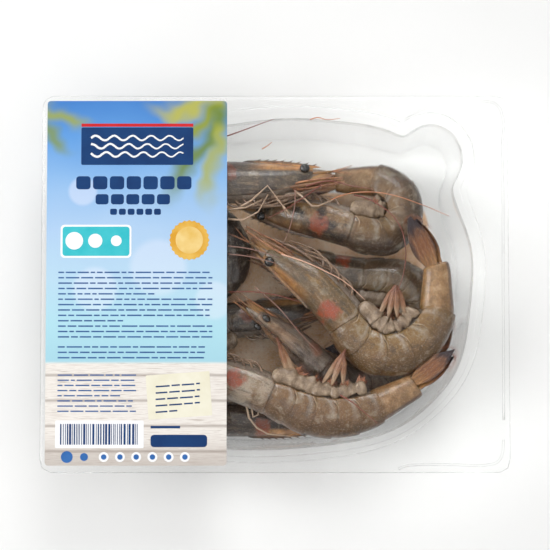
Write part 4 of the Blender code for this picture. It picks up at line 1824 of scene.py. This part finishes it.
@dataclass(frozen=True)
class Shrimp:
    """One shrimp: where its eye is seen, which way its body runs and how it bends, in mm and degrees."""

    node: str
    at: tuple[float, float]
    way: float
    bends: tuple[float, ...]
    heights: tuple[float, ...]
    size: float
    flat: float
    tone: ShellTone
    roll: float = 0.0
    flipped: bool = False
    eye_x: float = 12.0
    eye_height: float = 6.2
    hind: float = HIND
    segment: float = SEGMENT
    fan_start: float = 118.0
    length: float = 142.0
    step: float = 1.5
    reach: float = 4.2
    pressed: float = 0.9

    def height_at(self, along: float) -> float:
        """The mid-line's height at a distance along the body of full size."""
        stations = (0.0, self.hind, self.hind + 2.5 * self.segment, self.fan_start, self.length)
        for low, high, start, end in zip(stations, stations[1:], self.heights, self.heights[1:]):
            if along <= high:
                return (start + (end - start) * eased((along - low) / (high - low))) * MM
        return self.heights[-1] * MM

    def spine(self) -> list[tuple[Vector, float]]:
        """The mid-line from the rostrum's tip to the fan's end.

        Returns:
            Points and rolls.
        """
        joints = [self.eye_x + 20.0, *(self.hind + i * self.segment for i in range(6)), self.fan_start]
        way = math.radians(self.way)
        belly = Vector((-math.sin(way), math.cos(way), 0)) * (-1 if self.flipped else 1)
        lean = math.cos(math.radians(self.roll))
        axis = Vector((*self.at, 0)) * MM + belly * self.eye_height * MM * self.size * lean
        place = axis - Vector((math.cos(way), math.sin(way), 0)) * self.eye_x * MM * self.size
        points: list[tuple[Vector, float]] = []
        steps = round(self.length / self.step)
        for number in range(steps + 1):
            along = self.length * number / steps
            z = self.height_at(along)
            if points:
                shares = (eased((along - joint) / (2 * self.reach) + 0.5) for joint in joints)
                turned = sum(bend * share for bend, share in zip(self.bends, shares))
                heading = way + math.radians(turned)
                rise = z - points[-1][0].z
                run = math.sqrt(max((self.step * MM * self.size) ** 2 - rise**2, 0.0))
                place = place + Vector((math.cos(heading), math.sin(heading), 0)) * run
            roll = self.roll * (1 - eased((along - self.hind) / (5 * self.segment)))
            points.append((Vector((place.x, place.y, z)), math.radians(roll)))
        return points

    def build(self, pattern: Object, skin: NodeTree) -> None:
        """Lays a copy of the pattern on its side and bends it along the mid-line.

        Args:
            pattern: The stretched-out shrimp.
            skin: The skin pattern.
        """
        data = bpy.data.curves.new("mid_line", "CURVE")
        data.dimensions = "3D"
        data.twist_mode = "Z_UP"
        spline = data.splines.new("POLY")
        points = self.spine()
        spline.points.add(len(points) - 1)
        for knot, (place, roll) in zip(spline.points, points):
            knot.co = (*place, 1.0)
            knot.tilt = roll
        guide = placed("mid_line", data)
        mesh = pattern.data.copy()
        side = -90 if self.flipped else 90
        mesh.transform(
            rotation(side, "X")
            @ Matrix.Scale(self.size * MM, 4)
            @ Matrix.Diagonal((1.0, self.flat, 1.0, 1.0))
        )
        shrimp = placed(self.node + "_dressed", mesh)
        modified(shrimp, "CURVE", object=guide, deform_axis="POS_X")
        bpy.data.objects.remove(guide)
        points = coordinates(shrimp)
        sunk = np.minimum(points[:, 2] - PAD_TOP * MM, 0.0)
        points[:, 2] -= self.pressed * sunk
        move_vertices(shrimp, points)
        own = self.tone.material(self.node + "_shell", skin)
        for index, material in enumerate(shrimp.data.materials):
            if material.name == "shell":
                shrimp.data.materials[index] = own
        settle(shrimp, Slot.SHRIMP, [self.node])


GREY = ShellTone(
    "352a20", "514436", "6c5b46", "322c29", cool=0.8, patch=0.45, spot=(44.0, 5.4),
    seed=(3.0, 7.0, 1.0), amber=1.0,
)
OLIVE = ShellTone(
    "52391a", "715224", "776036", "4c4332", cool=0.5, patch=1.0, spot=(44.5, 4.0),
    seed=(23.0, 4.0, 9.0), amber=0.7,
)
# The near-black front colour at full share is painted shade on the curled shrimp's head shell, which lies in
# deep shade.
BROWN = ShellTone(
    "3a291b", "725636", "806d56", "1b130f", cool=1.0, patch=0.7, spot=(39.5, 3.6),
    seed=(41.0, 13.0, 5.0), amber=0.35,
)
SLATE = ShellTone(
    "4a3725", "6e573a", "7e6b53", "463b33", cool=0.6, patch=1.0, spot=(42.5, 8.8),
    seed=(11.0, 31.0, 7.0),
)
MAUVE = ShellTone(
    "4a3b31", "75645a", "8e8076", "77695f", cool=0.9, patch=0.4, spot=(42.5, 2.0),
    seed=(5.0, 17.0, 29.0), amber=0.25,
)
DARK = ShellTone(
    "2c1f16", "3e2d21", "52412f", "332a24", cool=0.5, patch=0.6, spot=(42.5, 3.4),
    seed=(57.0, 3.0, 17.0),
)
RUDDY = ShellTone(
    "332219", "453328", "58463a", "3a2f2b", cool=0.5, patch=0.8, spot=(32.0, 4.0),
    seed=(37.0, 8.0, 23.0),
)
PALE = ShellTone(
    "4f351a", "6a4a25", "7f6848", "90806f", cool=1.0, patch=1.0, spot=(36.5, 0.0),
    seed=(71.0, 19.0, 2.0),
)

SHRIMPS = (
    Shrimp("shrimp_far", (12.4, 47.7), 179.9, (0.1, 5.9, 9.7, 13.2, 16.1, 16.6, 16.1, 13.9),
           (30.8, 29.3, 27.6, 27.9, 27.3), size=0.98, flat=1, tone=GREY),
    Shrimp("shrimp_curled", (-5.2, 29.1), -15.9, (0.6, -3, 21.4, 43.6, 52.7, 45.2, 32.6, 4.3),
           (15.4, 24.1, 17.3, 13.5, 16.4), size=0.925, flat=1, tone=BROWN),
    Shrimp("shrimp_middle", (0.9, 15.2), -9.5, (0.2, 5.5, -6.1, -24.5, -39.2, -42.6, -42.2, -20.7),
           (10.1, 9.9, 9.5, 9.7, 9), size=0.92, flat=0.9, tone=SLATE, flipped=True),
    Shrimp("shrimp_diagonal", (-2.4, 9.2), -40.3, (-8.3, -11.1, 27.8, 39.4, 27.5, 24.9, 28, 27.5),
           (27.5, 27.5, 27.9, 29, 31.1), size=1.012, flat=1, tone=OLIVE),
    Shrimp("shrimp_near", (-40.3, -36.8), -20.2, (-0.4, -4.3, 2.5, 14.6, 11.7, 13.9, 8.3, 12.2),
           (28.6, 28.4, 28.6, 27.7, 28.7), size=0.962, flat=0.95, tone=PALE),
    Shrimp("shrimp_wall", (11.9, -60.8), 178.8, (-1, -5, -8, -10.4, -10.3, -9.8, -11.5, -17.2),
           (9.6, 9.3, 9.9, 9.6, 9.2), size=0.88, flat=0.9, tone=RUDDY, flipped=True),
    Shrimp("shrimp_low", (-6.2, -15.2), -40, (0.1, 3.9, 8.4, 13.1, 16, 17.3, 17.9, 29.8),
           (28.8, 17.6, 9.2, 9.4, 9.4), size=0.84, flat=0.9, tone=MAUVE, roll=-65.0),
    Shrimp("shrimp_under", (15, -6), 185, (1.4, 6.7, -2.4, -12.6, -12.2, -13.3, -16.5, -30.3),
           (8.6, 8, 8.6, 9.2, 7.4), size=0.86, flat=0.8, tone=DARK),
    Shrimp("shrimp_left", (-55.7, 51.5), -30.8, (0, -12.3, -25.8, -33, -36.3, -32.8, -29, -7.6),
           (9.6, 9.6, 9.6, 9.6, 8.8), size=0.88, flat=0.9, tone=DARK, flipped=True),
)


@dataclass(frozen=True)
class Feelers:
    """The long feelers and loose legs of one colour, by their points in the photograph's frame."""

    name: str
    stops: tuple[tuple[float, str], ...]
    radius: float
    paths: tuple[tuple[Point, ...], ...]
    jointed: bool = False

    def build(self) -> None:
        """Makes the strands and joins them."""
        tip = self.radius * 0.45
        parts = [strand("strand", path, self.radius, tip, 1, self.jointed) for path in self.paths]
        whole = joined(parts, self.name)
        coated(whole, mottled_material(self.name, self.stops, scale=0.3, roughness=0.35, coat=0.4))
        settle(whole, Slot.SHRIMP)


FEELERS = (
    Feelers("dark_red_feelers", ((0.35, "5a2218"), (0.65, "8a4530")), 0.3, (
        ((354, 195, 36), (366, 198, 36.8), (378, 204, 37.3), (397, 221, 37.3), (405, 243, 37.3),
         (404, 271, 37.4), (398, 291, 36.5)),
        ((322, 184, 36.5), (310, 193, 37), (300, 200, 37.2), (284, 210, 37.2), (268, 218, 36)),
        ((227, 136, 37), (244, 130, 37.2), (260, 124, 37.2), (274, 119, 37.3)),
        ((228, 292, 33), (255, 292, 34.5), (280, 296, 35), (300, 302, 34)),
        ((340, 395, 37), (352, 402, 37.3), (364, 412, 37.3), (377, 423, 37)),
        ((306, 186, 37.2), (330, 181, 37.3), (352, 186, 37.3), (372, 189, 37.3)),
    )),
    Feelers("orange_feelers", ((0.35, "a55f3a"), (0.65, "c98a60")), 0.26, (
        ((331, 200, 36.5), (343, 195, 37), (365, 192, 37.3), (388, 194, 37.3), (420, 204, 37.3),
         (449, 216, 37.3)),
        ((310, 119.5, 37.3), (318, 117.5, 37.4), (326, 119.5, 37.4), (340, 118.5, 37.4)),
        ((262, 149, 30), (267, 146, 30), (272, 142, 30)),
    )),
    Feelers("mauve_feelers", ((0.35, "6f4a40"), (0.65, "93705f")), 0.28, (
        ((295, 190, 37.2), (295, 203, 37.3), (293, 215, 37.3), (287, 235, 37.2), (277, 253, 36.8)),
        ((255, 287, 34), (278, 307, 34.5), (300, 333, 34), (318, 352, 33)),
        ((228, 246, 36.5), (245, 248, 37), (262, 252, 37.2), (280, 258, 37)),
        ((228, 254, 36.5), (246, 256, 37), (264, 260, 37.2), (278, 264, 37)),
    )),
    Feelers("pale_legs", ((0.35, "8f7660"), (0.65, "b59c84")), 0.5, (
        ((240, 207, 36), (252, 200, 36.6), (267.5, 185.5, 37), (283, 206, 37), (287, 217, 36.6)),
        ((283, 206, 37), (290.5, 215, 36.6)),
        ((228, 209.5, 36.6), (246, 207.5, 36.8), (262, 200, 36.6)),
        ((228, 219, 36.4), (243, 220, 37), (258, 212, 37), (268, 194.5, 36.4)),
        ((245, 399, 31), (249, 418, 29), (257, 428, 27), (268, 434, 26), (297, 437, 25)),
        ((251, 402, 31), (253, 417, 29), (258, 415, 29), (259, 404, 30)),
        ((295, 191, 36.4), (304, 198, 36.8), (312, 206, 37), (318, 206, 37), (334, 199.5, 36.8)),
    ), True),
    Feelers("pink_line_feelers", ((0.35, "b8876c"), (0.65, "d6b19a")), 0.32, (
        ((281, 254, 36.5), (305, 262, 36.9), (327, 272, 36.9), (345, 282, 36.8), (365, 300, 36)),
    )),
)


@dataclass(frozen=True)
class Brushes:
    """Wet, pointed paddles that stand out of the row, by root and tip in the photograph's frame."""

    width: float = 2.5
    blades: tuple[tuple[Point, Point], ...] = (
        ((395, 285, 35), (379, 315, 32.5)),
        ((395.5, 285, 35.5), (388, 317, 33.5)),
        ((396, 285, 35.5), (397, 317, 33.5)),
        ((397, 285, 35), (406, 315, 32.5)),
        ((346, 349, 34), (322, 384, 32)),
        ((345, 351, 34.5), (331, 386, 32.5)),
        ((344, 352, 34.5), (343, 384, 32)),
        ((276, 337, 33), (299, 383, 32)),
        ((278, 341, 34), (290, 379, 32)),
    )

    def build(self, pattern: ShrimpPattern) -> None:
        """Makes the blades and joins them.

        Args:
            pattern: The pattern, which knows how to make a blade.
        """
        parts = []
        for root, tip in self.blades:
            start, end = VIEW.at(*root), VIEW.at(*tip)
            along = end - start
            blade = pattern.leaf(
                "brush", along.length / MM, self.width, root=self.width * 0.3, point=0.6, camber=0.5
            )
            turn = along.to_track_quat("X", "Z").to_matrix().to_4x4()
            blade.data.transform(Matrix.Translation(start) @ turn @ Matrix.Scale(MM, 4))
            parts.append(blade)
        whole = joined(parts, "paddle_brushes")
        coated(whole, pattern.looks["brush"])
        whole.data.shade_smooth()
        settle(whole, Slot.SHRIMP)


def shrimp_looks() -> dict[str, Material]:
    """The finishes that all shrimp share, by the part that wears them."""
    looks = {"shell": bpy.data.materials.new("shell")}
    for look, (name, stops, scale, roughness, coat) in MOTTLED_LOOKS.items():
        looks[look] = mottled_material(name, stops, scale, roughness, coat)
    fibres = fibre_group()
    for look, (name, tone) in BLADE_LOOKS.items():
        looks[look] = tone.material(name, fibres)
    return looks


MOTTLED_LOOKS = {
    "flesh": ("pale_flesh", ((0.36, "574839"), (0.5, "75675a"), (0.64, "8c8074")), 0.5, 0.4, 0.4),
    "lobe": ("soft_lobe", ((0.34, "5c4a39"), (0.5, "7c6853"), (0.66, "a08e79")), 0.3, 0.3, 0.15),
    "limb": ("folded_limb", ((0.38, "5c4536"), (0.6, "8f745c")), 0.5, 0.38, 0.4),
    "feeler": ("brown_feeler", ((0.38, "6a3c28"), (0.6, "b07a52")), 0.5, 0.38, 0.4),
    "tooth": ("dark_tooth", ((0.38, "2e1c14"), (0.6, "6a4429")), 0.6, 0.35, 0.3),
    "bristle": ("red_bristle", ((0.38, "6a352a"), (0.6, "a56a4c")), 0.5, 0.5, 0.2),
    "eye": ("black_eye", ((0.4, "0b0908"), (0.65, "1d1814")), 1.5, 0.18, 0.8),
}
BLADE_LOOKS = {
    "fan": ("tail_fan", BladeTone("7f5829", "6c3e19", "1f0b10", 23.0, 8.6, 0.6)),
    "scale": ("head_scale", BladeTone("7c5e38", "8f6a3e", "6b472c", 17.0, 6.0, 0.9)),
    "brush": ("paddle_brush", BladeTone("6a361e", "7e5234", "8f7358", 13.0, 4.0, 1.6)),
    "paddle": ("swimming_paddle", BladeTone("8f7864", "8a5434", "75422a", 10.5, 5.0, 1.1)),
}


def main() -> None:
    """Builds the dressed pack in order."""
    logging.basicConfig(level=logging.INFO, format="%(name)s: %(message)s")
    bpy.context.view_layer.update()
    VIEW.camera()
    Studio().build()
    clear = clear_material("clear_tray", roughness=0.01, ior=1.3, tint="fdfefd", waves=0.05, body=0.47)
    tray = Tray()
    tray.build(clear)
    tray.build_ridges(clear)
    film = frame["nodes"]["lid_film"]
    coated(film, clear_material("clear_film", roughness=0.02, ior=1.13, tint="fefefe", waves=0.08, body=0.35))
    log.info("lid_film: clear film on the CAD plate")
    Label().build()
    Pad().build()
    skin = skin_group()
    kit = ShrimpPattern(looks=shrimp_looks())
    pattern = kit.build()
    for shrimp in SHRIMPS:
        shrimp.build(pattern, skin)
    bpy.data.objects.remove(pattern)
    Brushes().build(kit)
    for feelers in FEELERS:
        feelers.build()


if __name__ == "__main__":
    main()
